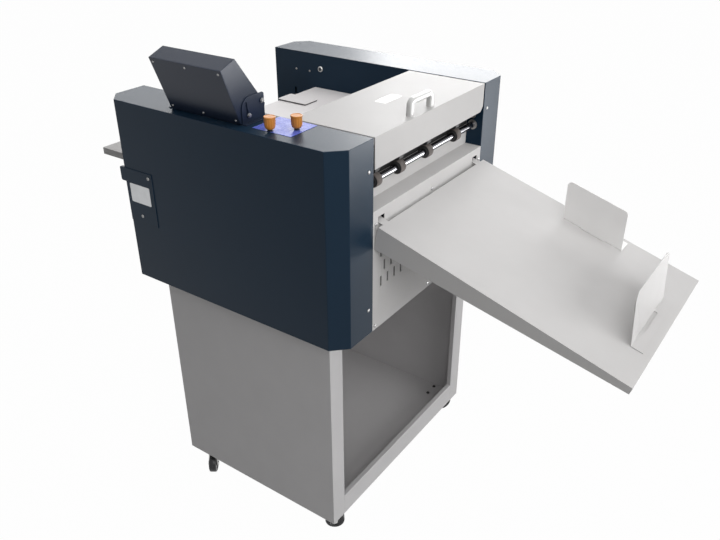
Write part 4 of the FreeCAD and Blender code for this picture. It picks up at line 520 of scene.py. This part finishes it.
def revolved(profile, steps, axis="z", centre=(0, 0, 0), flutes=0, flute_depth=0.0, fluted=()):
    """Closed surface turned from a loop of (radius, height) points, with grip flutes on chosen points."""
    surface = bmesh.new()
    rings = []
    for index, (radius, height) in enumerate(profile):
        ring = []
        for step in range(steps):
            angle = 2 * math.pi * step / steps
            wave = 0.5 - 0.5 * math.cos(flutes * angle) if index in fluted else 0.0
            reach = radius - flute_depth * wave
            ring.append(surface.verts.new((reach * math.cos(angle), reach * math.sin(angle), height)))
            if radius == 0:
                break
        rings.append(ring)
    for first, second in zip(rings, rings[1:]):
        for step in range(steps):
            corner = [first[step % len(first)], first[(step + 1) % len(first)],
                      second[(step + 1) % len(second)], second[step % len(second)]]
            unique = list(dict.fromkeys(corner))
            if len(unique) > 2:
                surface.faces.new(unique)
    bmesh.ops.remove_doubles(surface, verts=surface.verts, dist=WELD)
    bmesh.ops.recalc_face_normals(surface, faces=surface.faces)
    turn = Matrix.Rotation(-QUARTER, 4, "X") if axis == "y" else Matrix()
    surface.transform(Matrix.Translation(centre) @ turn)
    return surface


def symmetric(half, points):
    """Closed profile of (radius, inset) points from the end face at -half, and of their mirror image."""
    near = [(radius, inset - half) for radius, inset in points]
    return near + [(radius, -height) for radius, height in reversed(near)] + near[:1]


def joined(surfaces):
    """Several surfaces in one."""
    whole = bmesh.new()
    for surface in surfaces:
        mesh = bpy.data.meshes.new("part")
        surface.to_mesh(mesh)
        surface.free()
        whole.from_mesh(mesh)
        bpy.data.meshes.remove(mesh)
    return whole


def rounded_block(low, high, corner, axis=2, steps=6):
    """Block between two corners whose edges along one axis are rounded."""
    u, v = [i for i in range(3) if i != axis]
    surface = bmesh.new()
    loops = []
    for level in (low[axis], high[axis]):
        loop = []
        for quarter, (su, sv) in enumerate(((1, 1), (-1, 1), (-1, -1), (1, -1))):
            cu = (high[u] - corner) if su > 0 else (low[u] + corner)
            cv = (high[v] - corner) if sv > 0 else (low[v] + corner)
            for step in range(steps + 1):
                angle = QUARTER * (quarter + step / steps)
                place = [0.0, 0.0, 0.0]
                place[u] = cu + corner * math.cos(angle)
                place[v] = cv + corner * math.sin(angle)
                place[axis] = level
                loop.append(surface.verts.new(place))
        loops.append(loop)
        surface.faces.new(loop)
    count = len(loops[0])
    for step in range(count):
        following = (step + 1) % count
        surface.faces.new((loops[0][step], loops[0][following], loops[1][following], loops[1][step]))
    bmesh.ops.recalc_face_normals(surface, faces=surface.faces)
    return surface


def block(name, low, high, corner, body, finish, stands_for=(), axis=2):
    """A block with rounded corners, finished and set on its body."""
    mesh = to_mesh(name, rounded_block(low, high, corner, axis))
    return shown(name, mesh, body, finish, stands_for)


def points_mesh(name, places):
    """Points that each carry the way they face."""
    mesh = bpy.data.meshes.new(name)
    mesh.from_pydata([place for place, _ in places], [], [])
    facing = mesh.attributes.new("facing", "FLOAT_VECTOR", "POINT")
    for index, (_, way) in enumerate(places):
        facing.data[index].vector = way
    return mesh


def repeated(name, template, places, body, finish, size=1.0, spin=0.0, seed=1, stands_for=()):
    """One piece made of copies of a template on many places."""
    pattern = link(bpy.data.objects.new(f"{name}_pattern", template))
    mesh = grown(name, repeat_tree(), points_mesh(name, places), Piece=pattern, Size=size, Spin=spin,
                 Seed=seed, Material=FINISHES[finish])
    bpy.data.objects.remove(pattern)
    return shown(name, mesh, body, None, stands_for)


def screws(name, template, places, body, radius, seed, stands_for=()):
    """Screws of one size, each turned about its axis by chance."""
    repeated(name, template, places, body, "screw_zinc", size=radius, spin=1.5, seed=seed,
             stands_for=stands_for)


def joint(name):
    return next(row for row in frame["joints"] if row["name"] == name)


def middle(box):
    return (Vector(box[0]) + Vector(box[1])) / 2


def pan_head():
    """Cross-recessed pan head of radius 1, its seat at height 0."""
    crown, slot_half, slot_reach, slot_depth = 0.5, 0.10, 0.46, 0.24
    surface = revolved([(0, -0.02), (1.0, -0.02), (1.0, 0.12), (0.95, 0.30), (0.80, 0.44), (0.55, 0.53),
                        (0.50, 0.53), (0, 0.54)], steps=32)
    flat = [edge for edge in surface.edges if all(vertex.co.z > crown for vertex in edge.verts)]
    bmesh.ops.subdivide_edges(surface, edges=flat, cuts=3, use_grid_fill=True)
    for vertex in surface.verts:
        if vertex.co.z > crown:
            x, y = abs(vertex.co.x), abs(vertex.co.y)
            if min(x, y) < slot_half and max(x, y) < slot_reach:
                vertex.co.z -= slot_depth
    return to_mesh("pan_head", surface)


def hex_head():
    """Hexagon head on a flat washer, of radius 1 across the washer, its seat at height 0."""
    washer = revolved([(0, -0.02), (1.0, -0.02), (1.0, 0.12), (0.96, 0.16), (0, 0.16)], steps=32)
    hexagon = revolved([(0, 0.16), (0.80, 0.16), (0.80, 0.62), (0.70, 0.70), (0, 0.70)], steps=6)
    return to_mesh("hex_head", joined([washer, hexagon]))


# One operator for each piece or group of like pieces

DONE = {"FINISHED"}


class Undoable:
    bl_options = {"REGISTER", "UNDO"}


class CREASER_OT_cabinet(Undoable, bpy.types.Operator):
    """Sheet-metal cabinet with its posts, rail, back and floor"""
    bl_idname = "creaser.cabinet"
    bl_label = "Cabinet"

    def execute(self, context):
        for part in ("left_panel", "right_panel", "back_panel", "floor"):
            dressed(f"cabinet_{part}", "machine", "cabinet_enamel", radius=sizes().fold, rim=sizes().rim)
        return DONE


class CREASER_OT_casters(Undoable, bpy.types.Operator):
    """Four swivel casters with their plates and bolts"""
    bl_idname = "creaser.casters"
    bl_label = "Casters"

    def execute(self, context):
        widest_bolt, head_height, head_radius = 20 * MM, 3 * MM, 5 * MM
        dressed("caster_plates", "machine", "zinc_steel", shortest=2 * MM,
                keep=lambda low, high: high.x - low.x > widest_bolt)
        heads = []
        for low, high in solid_boxes("caster_plates"):
            if high.x - low.x < widest_bolt:
                centre = (low + high) / 2
                for level, way in ((high.z - head_height, 1), (low.z + head_height, -1)):
                    heads.append(((centre.x, centre.y, level), (0, 0, way)))
        repeated("caster_bolts", hex_head(), heads, "machine", "black_plastic",
                 size=head_radius, spin=1.0, seed=4)
        for end in ("front", "rear"):
            for side in ("left", "right"):
                self.caster(f"{end}_{side}")
        return DONE

    def caster(self, place):
        dressed(f"{place}_caster_fork", f"{place}_caster", "zinc_steel", shortest=3 * MM)
        node = f"{place}_caster_wheel"
        low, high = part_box(node)
        radius, bore, width_share = (high[2] - low[2]) / 2, 4.05 * MM, 0.4
        half = radius * width_share
        tyre = revolved(symmetric(half, [
            (bore, 0), (6.5 * MM, 0), (7 * MM, 0.8 * MM), (15.5 * MM, 1.6 * MM), (16.4 * MM, 0.3 * MM),
            (radius - 3.2 * MM, 0), (radius - 1.0 * MM, 1.1 * MM), (radius, 3.6 * MM)]), steps=48)
        roll = joint(f"{place}_roll")
        turn = Vector((0, 0, 1)).rotation_difference(Vector(roll["axis"])).to_matrix().to_4x4()
        tyre.transform(Matrix.Translation(roll["pos_m"]) @ turn)
        shown(f"{node}_tyred", to_mesh(node, tyre), f"{place}_wheel", "wheel_tyre", (node,))


class CREASER_OT_housings(Undoable, bpy.types.Operator):
    """Chamfered housings, side frames and base pan"""
    bl_idname = "creaser.housings"
    bl_label = "Housings"

    def execute(self, context):
        for node in ("left_housing", "right_housing"):
            dressed(node, "machine", "navy_enamel", radius=sizes().fold, rim=sizes().rim)
        for node in ("left_side_frame", "right_side_frame"):
            dressed(node, "machine", "navy_enamel", radius=sizes().rim)
        bare("base_pan", "zinc_steel")
        return DONE


class CREASER_OT_panels(Undoable, bpy.types.Operator):
    """Front panel with its vents and the black pad that paints the shade behind them, delivery guide with
    black strips that paint the shade under the apron, paper bed and raised plate with a black pad that
    paints the shadow beneath it
    """
    bl_idname = "creaser.panels"
    bl_label = "Panels and bed"

    def execute(self, context):
        for node in ("front_panel", "delivery_guide", "paper_bed", "creaser_rear_panel"):
            # The paper bed takes the paler bed enamel, painted light for the shade between the housings.
            finish = "bed_enamel" if node == "paper_bed" else "light_enamel"
            dressed(node, "machine", finish, radius=sizes().rim * 1.6, rim=sizes().rim)
        self.raised_plate()
        self.slide_strip()
        self.vent_filter()
        return DONE

    @staticmethod
    def black(name, low, high, corner, axis=2):
        block(name, low, high, corner, "machine", "black_rubber", axis=axis)

    def raised_plate(self):
        """Plate on the bed, on a black pad a little smaller than itself, which paints the shadow in the gap
        beneath the plate.
        """
        low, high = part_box("hold_down_plate")
        inset, sheet_foot = 0.8 * MM, high[2] - 1.6 * MM
        block("raised_plate", (low[0], low[1], sheet_foot), high, 4 * MM,
              "machine", "bed_enamel", ("hold_down_plate",))
        # Black pad that paints the shadow under the plate's edges.
        self.black("raised_plate_pad", (low[0] + inset, low[1] + inset, low[2]),
                   (high[0] - inset, high[1] - inset, sheet_foot), 3.4 * MM)

    def slide_strip(self):
        """Matt black strips on both sides of the delivery guide's upper bend, which paint the shade in the
        gap under the apron.
        """
        low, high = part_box("delivery_guide")
        inset, thickness, film, depth, edge_gap = 1.5 * MM, 0.6 * MM, 0.2 * MM, 15 * MM, 0.3 * MM
        # Black strips that paint the dark shade seen between the delivery shaft and the apron.
        self.black("slide_strip", (low[0] + inset, low[1] + inset, high[2]),
                   (high[0] - inset, high[1] - inset, high[2] + thickness), 2 * MM)
        self.black("slide_strip_face", (high[0], low[1] + inset, high[2] - depth),
                   (high[0] + film, high[1] - inset, high[2] - edge_gap), 1 * MM, axis=0)

    def vent_filter(self):
        """Black pad behind the vents, flat against the inside of the front panel, which paints the shade
        inside the machine seen through them.
        """
        low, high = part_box("front_panel")
        sheet_and_gap, thickness = 2.1 * MM, 4 * MM
        back = high[0] - sheet_and_gap
        near, far, foot, top = 20 * MM, 215 * MM, 92 * MM, 236 * MM
        # Black pad that paints the shade behind the vents.
        self.black("vent_filter", (back - thickness, low[1] + near, low[2] + foot),
                   (back, low[1] + far, low[2] + top), 3 * MM)


class CREASER_OT_top_cover(Undoable, bpy.types.Operator):
    """Hinged top cover with its blank sticker"""
    bl_idname = "creaser.top_cover"
    bl_label = "Top cover"

    def execute(self, context):
        # The cover takes the darker cover enamel, painted shade against its brighter light.
        dressed("top_cover", "cover", "cover_enamel", radius=sizes().fold, rim=sizes().rim)
        rear, front, near, far = 30 * MM, 58 * MM, -26 * MM, 42 * MM
        block("cover_sticker", (rear, near, TOP_FACE), (front, far, TOP_FACE + STICKER_SHEET),
              sizes().sticker_corner, "cover", "sticker")
        return DONE


class CREASER_OT_cover_handle(Undoable, bpy.types.Operator):
    """Bow handle on the top cover"""
    bl_idname = "creaser.cover_handle"
    bl_label = "Cover handle"

    def execute(self, context):
        low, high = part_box("cover_handle")
        bar, width, across = 14 * MM, high[0] - low[0], (low[0] + high[0]) / 2
        near, far, top = low[1] + bar / 2, high[1] - bar / 2, high[2] - bar / 2
        path = bpy.data.meshes.new("handle_path")
        ends = ((near, low[2]), (near, top), (far, top), (far, low[2]))
        path.from_pydata([(across, *end) for end in ends], [(0, 1), (1, 2), (2, 3)], [])
        mesh = grown("cover_handle_bow", bar_tree(), path, Width=bar, Thickness=width,
                     Bend=sizes().handle_corner, Rounding=sizes().handle_round,
                     Material=FINISHES["handle_grey"])
        mesh.shade_smooth()
        mesh.set_sharp_from_angle(angle=SHARP_ANGLE)
        shown("cover_handle_bow", mesh, "cover", None, ("cover_handle",))
        return DONE


class CREASER_OT_delivery(Undoable, bpy.types.Operator):
    """Delivery shaft with its ribbed rollers, the pinch rollers and the infeed rollers"""
    bl_idname = "creaser.delivery"
    bl_label = "Rollers"

    def execute(self, context):
        boxes = solid_boxes("delivery_rollers")
        extent = (boxes[0][1] - boxes[0][0]) / 2
        half, radius, bore = extent.y, extent.x, 7.55 * MM
        cheek = radius - 1.6 * MM
        core = revolved(symmetric(half, [
            (bore, 0), (9.5 * MM, 0), (9.8 * MM, 0.7 * MM), (cheek - 0.8 * MM, 0.7 * MM),
            (cheek, 0.1 * MM)]), steps=64)
        places = [(middle(box), (0, 1, 0)) for box in boxes]
        repeated("roller_cores", to_mesh("roller_core", core), places, "delivery_drive", "black_rubber",
                 stands_for=("delivery_rollers",))
        ribs = sizes().ribs
        tread = revolved(symmetric(half, [
            (cheek, 1.2 * MM), (cheek + 0.9 * MM, 0.6 * MM), (radius - 0.3 * MM, 1.3 * MM),
            (radius, 2.4 * MM)]),
            steps=ribs * RIB_STEPS, flutes=ribs, flute_depth=0.45 * MM, fluted=(2, 3, 4, 5))
        repeated("roller_treads", to_mesh("roller_tread", tread, smooth=math.radians(50)), places,
                 "delivery_drive", "roller_rubber")
        turned("delivery_shaft", "delivery_drive", "ground_steel")
        # Pinch rollers in black rubber, dark partly as their own rubber and partly to paint the shade under
        # the apron.
        turned("pinch_rollers", "pinch_shaft", "black_rubber")
        turned("infeed_roller", "infeed_drive", "roller_rubber")
        turned("infeed_pinch_roller", "infeed_pinch", "roller_rubber")
        turned("feed_roller", "feed_drive", "roller_rubber")
        turned("shaft_bearings", "machine", "tinned_bronze")
        return DONE


class CREASER_OT_creasing_unit(Undoable, bpy.types.Operator):
    """Creasing beam, blade, shaft, anvil, return springs and motor"""
    bl_idname = "creaser.creasing_unit"
    bl_label = "Creasing unit"

    def execute(self, context):
        dressed("anvil_beam", "machine", "tool_steel")
        dressed("crease_beam", "creasing_beam", "tool_steel")
        dressed("crease_blade", "creasing_beam", "ground_steel", radius=0.2 * MM)
        turned("crease_shaft", "crease_drive", "ground_steel")
        boxes = solid_boxes("return_springs")
        low, high = boxes[0]
        wire = sizes().coil_wire
        places = [((middle(box).x, middle(box).y, box[0].z + wire), (0, 0, 1)) for box in boxes]
        mesh = grown("return_coils", coil_tree(), points_mesh("return_coils", places),
                     Radius=(high.x - low.x) / 2 - wire, Wire=wire, Height=high.z - low.z - 2 * wire,
                     Turns=sizes().coil_turns, Material=FINISHES["zinc_steel"])
        mesh.shade_smooth()
        coils = shown("return_coils", mesh, "machine", None, ("return_springs",))
        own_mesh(coils)
        dressed("crease_motor", "machine", "cast_metal", radius=1.2 * MM)
        return DONE


class CREASER_OT_screen(Undoable, bpy.types.Operator):
    """Tilting control screen with its back plate, glass, brackets and screws"""
    bl_idname = "creaser.screen"
    bl_label = "Control screen"

    def execute(self, context):
        dressed("screen_box", "screen", "screen_enamel", radius=1.0 * MM, rim=sizes().rim)
        dressed("screen_back_plate", "screen", "screen_enamel", radius=sizes().rim)
        dressed("touch_screen", "screen", "screen_glass")
        dressed("screen_brackets", "machine", "screen_enamel", radius=sizes().rim)
        self.plate_screws()
        self.pivot_screws()
        return DONE

    @staticmethod
    def plate_screws():
        """Small pan screws round the back plate, which leans with the screen."""
        low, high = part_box("screen_back_plate")
        sheet, inset = 1.5 * MM, 9 * MM
        lean_cos, lean_sin = math.cos(SCREEN_LEAN), math.sin(SCREEN_LEAN)
        foot = Vector((0, high[1] - sheet * lean_cos, low[2]))
        head = Vector((0, low[1], high[2] - sheet * lean_sin))
        up = (head - foot).normalized()
        out = Vector((0, -lean_cos, -lean_sin))
        places = [(place + Vector((along, 0, 0)), out)
                  for along in (low[0] + inset, (low[0] + high[0]) / 2, high[0] - inset)
                  for place in (foot + up * inset, head - up * inset)]
        screws("screen_plate_screws", pan_head(), places, "screen", sizes().small_head, seed=7)

    @staticmethod
    def pivot_screws():
        """Hexagon screws with washers on the pivot and clamp studs at both ends of the screen."""
        low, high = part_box("screen_box")
        places = [((end, *level), (way, 0, 0)) for level in STUD_PLACES
                  for end, way in ((low[0], -1), (high[0], 1))]
        screws("screen_stud_screws", hex_head(), places, "screen", sizes().stud_head, seed=5)


class CREASER_OT_knobs(Undoable, bpy.types.Operator):
    """Two adjusting knobs on the film-covered panel"""
    bl_idname = "creaser.knobs"
    bl_label = "Adjusting knobs"

    def execute(self, context):
        dressed("knob_panel", "machine", "blue_film", radius=0.2 * MM, shortest=20 * MM)
        for number in (1, 2):
            self.knob(f"adjusting_knob_{number}", f"knob_{number}")
        return DONE

    def knob(self, node, body):
        """Fluted cap on its threaded shaft and collar."""
        low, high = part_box(node)
        centre = ((low[0] + high[0]) / 2, (low[1] + high[1]) / 2, 0)
        radius, top = (high[0] - low[0]) / 2, high[2]
        foot = TOP_FACE + 4.5 * MM
        cap = revolved([
            (0, foot), (radius * 0.50, foot), (radius * 0.66, foot + 0.7 * MM),
            (radius * 0.80, foot + 2.6 * MM), (radius * 0.89, foot + 5.5 * MM),
            (radius * 0.94, foot + 9 * MM), (radius * 0.965, top - 4 * MM),
            (radius * 0.97, top - 2.4 * MM), (radius, top - 1.9 * MM),
            (radius, top - 0.7 * MM), (radius * 0.96, top - 0.1 * MM), (radius * 0.93, top),
            (radius * 0.86, top), (radius * 0.82, top - 0.7 * MM), (0, top - 0.7 * MM)],
            steps=sizes().flutes * FLUTE_STEPS, centre=centre, flutes=sizes().flutes, flute_depth=0.5 * MM,
            fluted=(4, 5, 6))
        shown(f"{node}_cap", to_mesh(node, cap, smooth=math.radians(40)), body,
              "orange_plastic", (node,))
        thread, stem, collar, seat = 3.9 * MM, 4.4 * MM, 6 * MM, TOP_FACE + 1 * MM
        shaft = revolved([
            (0, low[2]), (thread, low[2]), (thread, seat), (collar, seat), (collar, TOP_FACE + 2.6 * MM),
            (stem, TOP_FACE + 3.2 * MM), (stem, foot + 1 * MM), (0, foot + 1 * MM)], steps=40, centre=centre)
        shown(f"{node}_shaft", to_mesh(f"{node}_shaft", shaft), body, "black_plastic")


class CREASER_OT_fasteners(Undoable, bpy.types.Operator):
    """Case screws, screws in the throat and the key lock"""
    bl_idname = "creaser.fasteners"
    bl_label = "Screws and lock"

    def execute(self, context):
        places, wall_places = [], []
        longest_screw, seat = 15 * MM, 2.0 * MM
        for low, high in solid_boxes("case_fasteners"):
            if max(high - low) > longest_screw:
                continue
            centre = (low + high) / 2
            if high.x > FRONT_FACE:
                places.append(((FRONT_FACE, centre.y, centre.z), (1, 0, 0)))
            elif centre.y > 0:
                wall_places.append(((centre.x, WALL_FACE, centre.z), (0, -1, 0)))
            else:
                places.append(((centre.x, low.y + seat, centre.z), (0, -1, 0)))
        screws("case_screws", pan_head(), places, "machine", sizes().head, seed=3,
               stands_for=("case_fasteners",))
        screws("wall_screws", pan_head(), wall_places, "machine", sizes().wall_head, seed=6)
        low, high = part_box("lock_plug")
        centre = Vector(((low[0] + high[0]) / 2, low[1], (low[2] + high[2]) / 2))
        bore, height = 5.06 * MM, 2.5 * MM
        ring = revolved([
            (bore, 0), (6.3 * MM, 0), (7.2 * MM, 0.6 * MM), (7.9 * MM, 1.8 * MM), (8.0 * MM, height),
            (bore, height), (bore, 0)], steps=48, axis="y", centre=centre)
        shown("key_lock_ring", to_mesh("key_lock_ring", ring), "machine", "zinc_steel")
        dressed("lock_plug", "lock_cylinder", "dark_steel", radius=0.2 * MM, shortest=1 * MM)
        return DONE


class CREASER_OT_service_cover(Undoable, bpy.types.Operator):
    """Service cover with its blank rating plate"""
    bl_idname = "creaser.service_cover"
    bl_label = "Service cover"

    def execute(self, context):
        dressed("service_cover", "machine", "navy_enamel", radius=sizes().rim)
        low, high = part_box("service_cover")
        thickness, rear, front, foot, top = 0.3 * MM, 27 * MM, 13 * MM, 50 * MM, 96 * MM
        block("rating_plate", (low[0] + rear, low[1] - thickness, low[2] + foot),
              (high[0] - front, low[1], low[2] + top), sizes().sticker_corner,
              "machine", "rating_plate", axis=1)
        return DONE


class CREASER_OT_power_inlet(Undoable, bpy.types.Operator):
    """Mains inlet with its rocker switch"""
    bl_idname = "creaser.power_inlet"
    bl_label = "Power inlet"

    def execute(self, context):
        dressed("power_inlet", "machine", "black_plastic", shortest=3 * MM)
        dressed("rocker_switch", "power_rocker", "black_plastic", shortest=3 * MM)
        return DONE


class CREASER_OT_feed_table(Undoable, bpy.types.Operator):
    """Lifting feed table with its guide rods and lift shaft"""
    bl_idname = "creaser.feed_table"
    bl_label = "Feed table"

    def execute(self, context):
        dressed("feed_table", "pile_table", "tray_enamel", radius=1.0 * MM, rim=sizes().rim)
        turned("lift_rods", "machine", "ground_steel")
        turned("lift_shaft", "lift_drive", "ground_steel")
        return DONE


class CREASER_OT_delivery_tray(Undoable, bpy.types.Operator):
    """Sloping delivery tray with its side guide and end stop"""
    bl_idname = "creaser.delivery_tray"
    bl_label = "Delivery tray"

    def execute(self, context):
        dressed("delivery_tray", "tray", "tray_enamel", radius=1.2 * MM, rim=0.4 * MM)
        # The side guide's whiter enamel is partly its own paint and partly painted light.
        dressed("side_guide", "tray_side_guide", "guide_enamel", shortest=2 * MM)
        # The end stop takes the darker tray enamel, painted shade that offsets the strong light on its face.
        dressed("end_stop", "tray_end_stop", "tray_enamel", shortest=2 * MM)
        return DONE


class CREASER_OT_drive(Undoable, bpy.types.Operator):
    """Motors, belts, pulley and electronics inside the housings"""
    bl_idname = "creaser.drive"
    bl_label = "Drive and electronics"

    def execute(self, context):
        dressed("drive_motors", "machine", "cast_metal", radius=0.8 * MM)
        turned("motor_pulley", "motor_output", "cast_metal")
        bare("drive_belts", "black_rubber")
        dressed("control_board", "machine", "circuit_board")
        return DONE


class CREASER_OT_stage(Undoable, bpy.types.Operator):
    """Pale floor, soft light and camera"""
    bl_idname = "creaser.stage"
    bl_label = "Stage"

    def execute(self, context):
        self.floor()
        self.world(context.scene)
        self.lamps()
        self.camera(context.scene)
        context.scene.view_settings.view_transform = "Standard"
        return DONE

    @staticmethod
    def seen_by_eye(tree):
        """1 for camera, glossy and transmission rays, 0 for the light that falls on the object."""
        path = add(tree, "ShaderNodeLightPath").outputs
        first = maths(tree, "MAXIMUM", path["Is Camera Ray"], path["Is Glossy Ray"])
        return maths(tree, "MAXIMUM", first, path["Is Transmission Ray"])

    def floor(self):
        reach, paper_tone, glow_share = 20.0, (0.45, 0.45, 0.45, 1), 0.985
        surface = bmesh.new()
        surface.faces.new([surface.verts.new((x, y, 0)) for x, y in
                           ((-reach, -reach), (reach, -reach), (reach, reach), (-reach, reach))])
        floor = link(bpy.data.objects.new("floor", to_mesh("floor", surface)))
        material, tree = new_finish("floor_paper")
        tree.nodes.remove(tree.nodes["Principled BSDF"])
        paper = add(tree, "ShaderNodeBsdfDiffuse", {"Color": paper_tone})
        glow = add(tree, "ShaderNodeEmission", {"Color": (1, 1, 1, 1), "Strength": 1.0})
        share = maths(tree, "MULTIPLY", self.seen_by_eye(tree), glow_share)
        both = add(tree, "ShaderNodeMixShader", {0: share, 1: paper, 2: glow})
        feed(tree, tree.nodes["Material Output"], {"Surface": both})
        floor.data.materials.append(material)

    def world(self, scene):
        world = bpy.data.worlds.new("studio")
        scene.world = world
        world.use_nodes = True
        tree = world.node_tree
        light = tree.nodes["Background"]
        feed(tree, light, {"Color": (1, 1, 1, 1), "Strength": 0.11})
        white = add(tree, "ShaderNodeBackground", {"Color": (1, 1, 1, 1), "Strength": 1.0})
        both = add(tree, "ShaderNodeMixShader", {0: self.seen_by_eye(tree), 1: light, 2: white})
        feed(tree, tree.nodes["World Output"], {"Surface": both})

    def lamps(self):
        machine = (0.0, 0.0, 0.8)
        self.lamp("overhead_softbox", (0.2, 0.4, 3.2), machine, (3.2, 3.2), 1.5)
        self.lamp("front_softbox", (5.2, -0.3, 2.0), machine, (4.4, 3.6), 3.1)
        self.lamp("side_softbox", (1.9, -1.9, 2.7), (0.0, -0.1, 0.4), (1.5, 1.5), 3.4)
        self.card("window_card", (-0.6, 3.3, 2.2), (3.0, 1.8), 7.5)
        self.card("high_card", (-3.5, 3.3, 2.9), (2.8, 1.0), 4.5)
        self.card("low_card", (1.95, 1.45, 0.47), (1.8, 0.9), 18.0)

    def card(self, name, place, size, brightness):
        """A bright card beside the machine that shows only in its gloss."""
        self.lamp(name, place, (0.0, 0.0, place[2] * 0.9), size, brightness).visible_diffuse = False

    @staticmethod
    def lamp(name, place, aim, size, brightness):
        """Rectangular softbox of a given brightness, where 1 shows as white."""
        data = bpy.data.lights.new(name, "AREA")
        data.shape = "RECTANGLE"
        data.size, data.size_y = size
        data.energy = brightness * math.pi * data.size * data.size_y
        lamp = link(bpy.data.objects.new(name, data))
        lamp.location = place
        lamp.rotation_euler = (Vector(aim) - Vector(place)).to_track_quat("-Z", "Y").to_euler()
        lamp.visible_camera = False
        return lamp

    def camera(self, scene):
        data = bpy.data.cameras.new("camera")
        data.sensor_width = 36.0
        data.sensor_fit = "HORIZONTAL"
        data.lens = 37.70
        data.clip_end = 100.0
        camera = link(bpy.data.objects.new("camera", data))
        place, heading, dip, roll = (0.92554, -1.36070, 1.53930), 35.018, 29.250, -0.129
        turn = (Matrix.Rotation(math.radians(heading), 4, "Z")
                @ Matrix.Rotation(math.radians(90 - dip), 4, "X")
                @ Matrix.Rotation(math.radians(roll), 4, "Z"))
        camera.matrix_world = Matrix.Translation(place) @ turn
        scene.camera = camera


class CREASER_PT_panel(bpy.types.Panel):
    """Lists the pieces and their sizes and colours"""
    bl_idname = "CREASER_PT_panel"
    bl_label = "Paper creasing machine"
    bl_space_type = "VIEW_3D"
    bl_region_type = "UI"
    bl_category = "Creaser"

    def draw(self, context):
        for operator in OPERATORS:
            self.layout.operator(operator.bl_idname)
        for settings in (context.scene.creaser_sizes, context.scene.creaser_colours):
            column = self.layout.column()
            for item in settings.bl_rna.properties.keys():
                if item not in ("rna_type", "name"):
                    column.prop(settings, item)


OPERATORS = (
    CREASER_OT_stage, CREASER_OT_cabinet, CREASER_OT_casters, CREASER_OT_housings, CREASER_OT_panels,
    CREASER_OT_top_cover, CREASER_OT_cover_handle, CREASER_OT_delivery, CREASER_OT_creasing_unit,
    CREASER_OT_screen, CREASER_OT_knobs, CREASER_OT_fasteners, CREASER_OT_service_cover,
    CREASER_OT_power_inlet, CREASER_OT_feed_table, CREASER_OT_delivery_tray, CREASER_OT_drive,
)
CLASSES = (CreaserColours, CreaserSizes, *OPERATORS, CREASER_PT_panel)


def register():
    for kind in CLASSES:
        bpy.utils.register_class(kind)
    bpy.types.Scene.creaser_colours = PointerProperty(type=CreaserColours)
    bpy.types.Scene.creaser_sizes = PointerProperty(type=CreaserSizes)


def unregister():
    del bpy.types.Scene.creaser_sizes
    del bpy.types.Scene.creaser_colours
    for kind in reversed(CLASSES):
        bpy.utils.unregister_class(kind)


def main():
    """Registers the add-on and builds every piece."""
    register()
    mix_finishes()
    for operator in OPERATORS:
        group, name = operator.bl_idname.split(".")
        getattr(getattr(bpy.ops, group), name)()


if __name__ == "__main__":
    main()
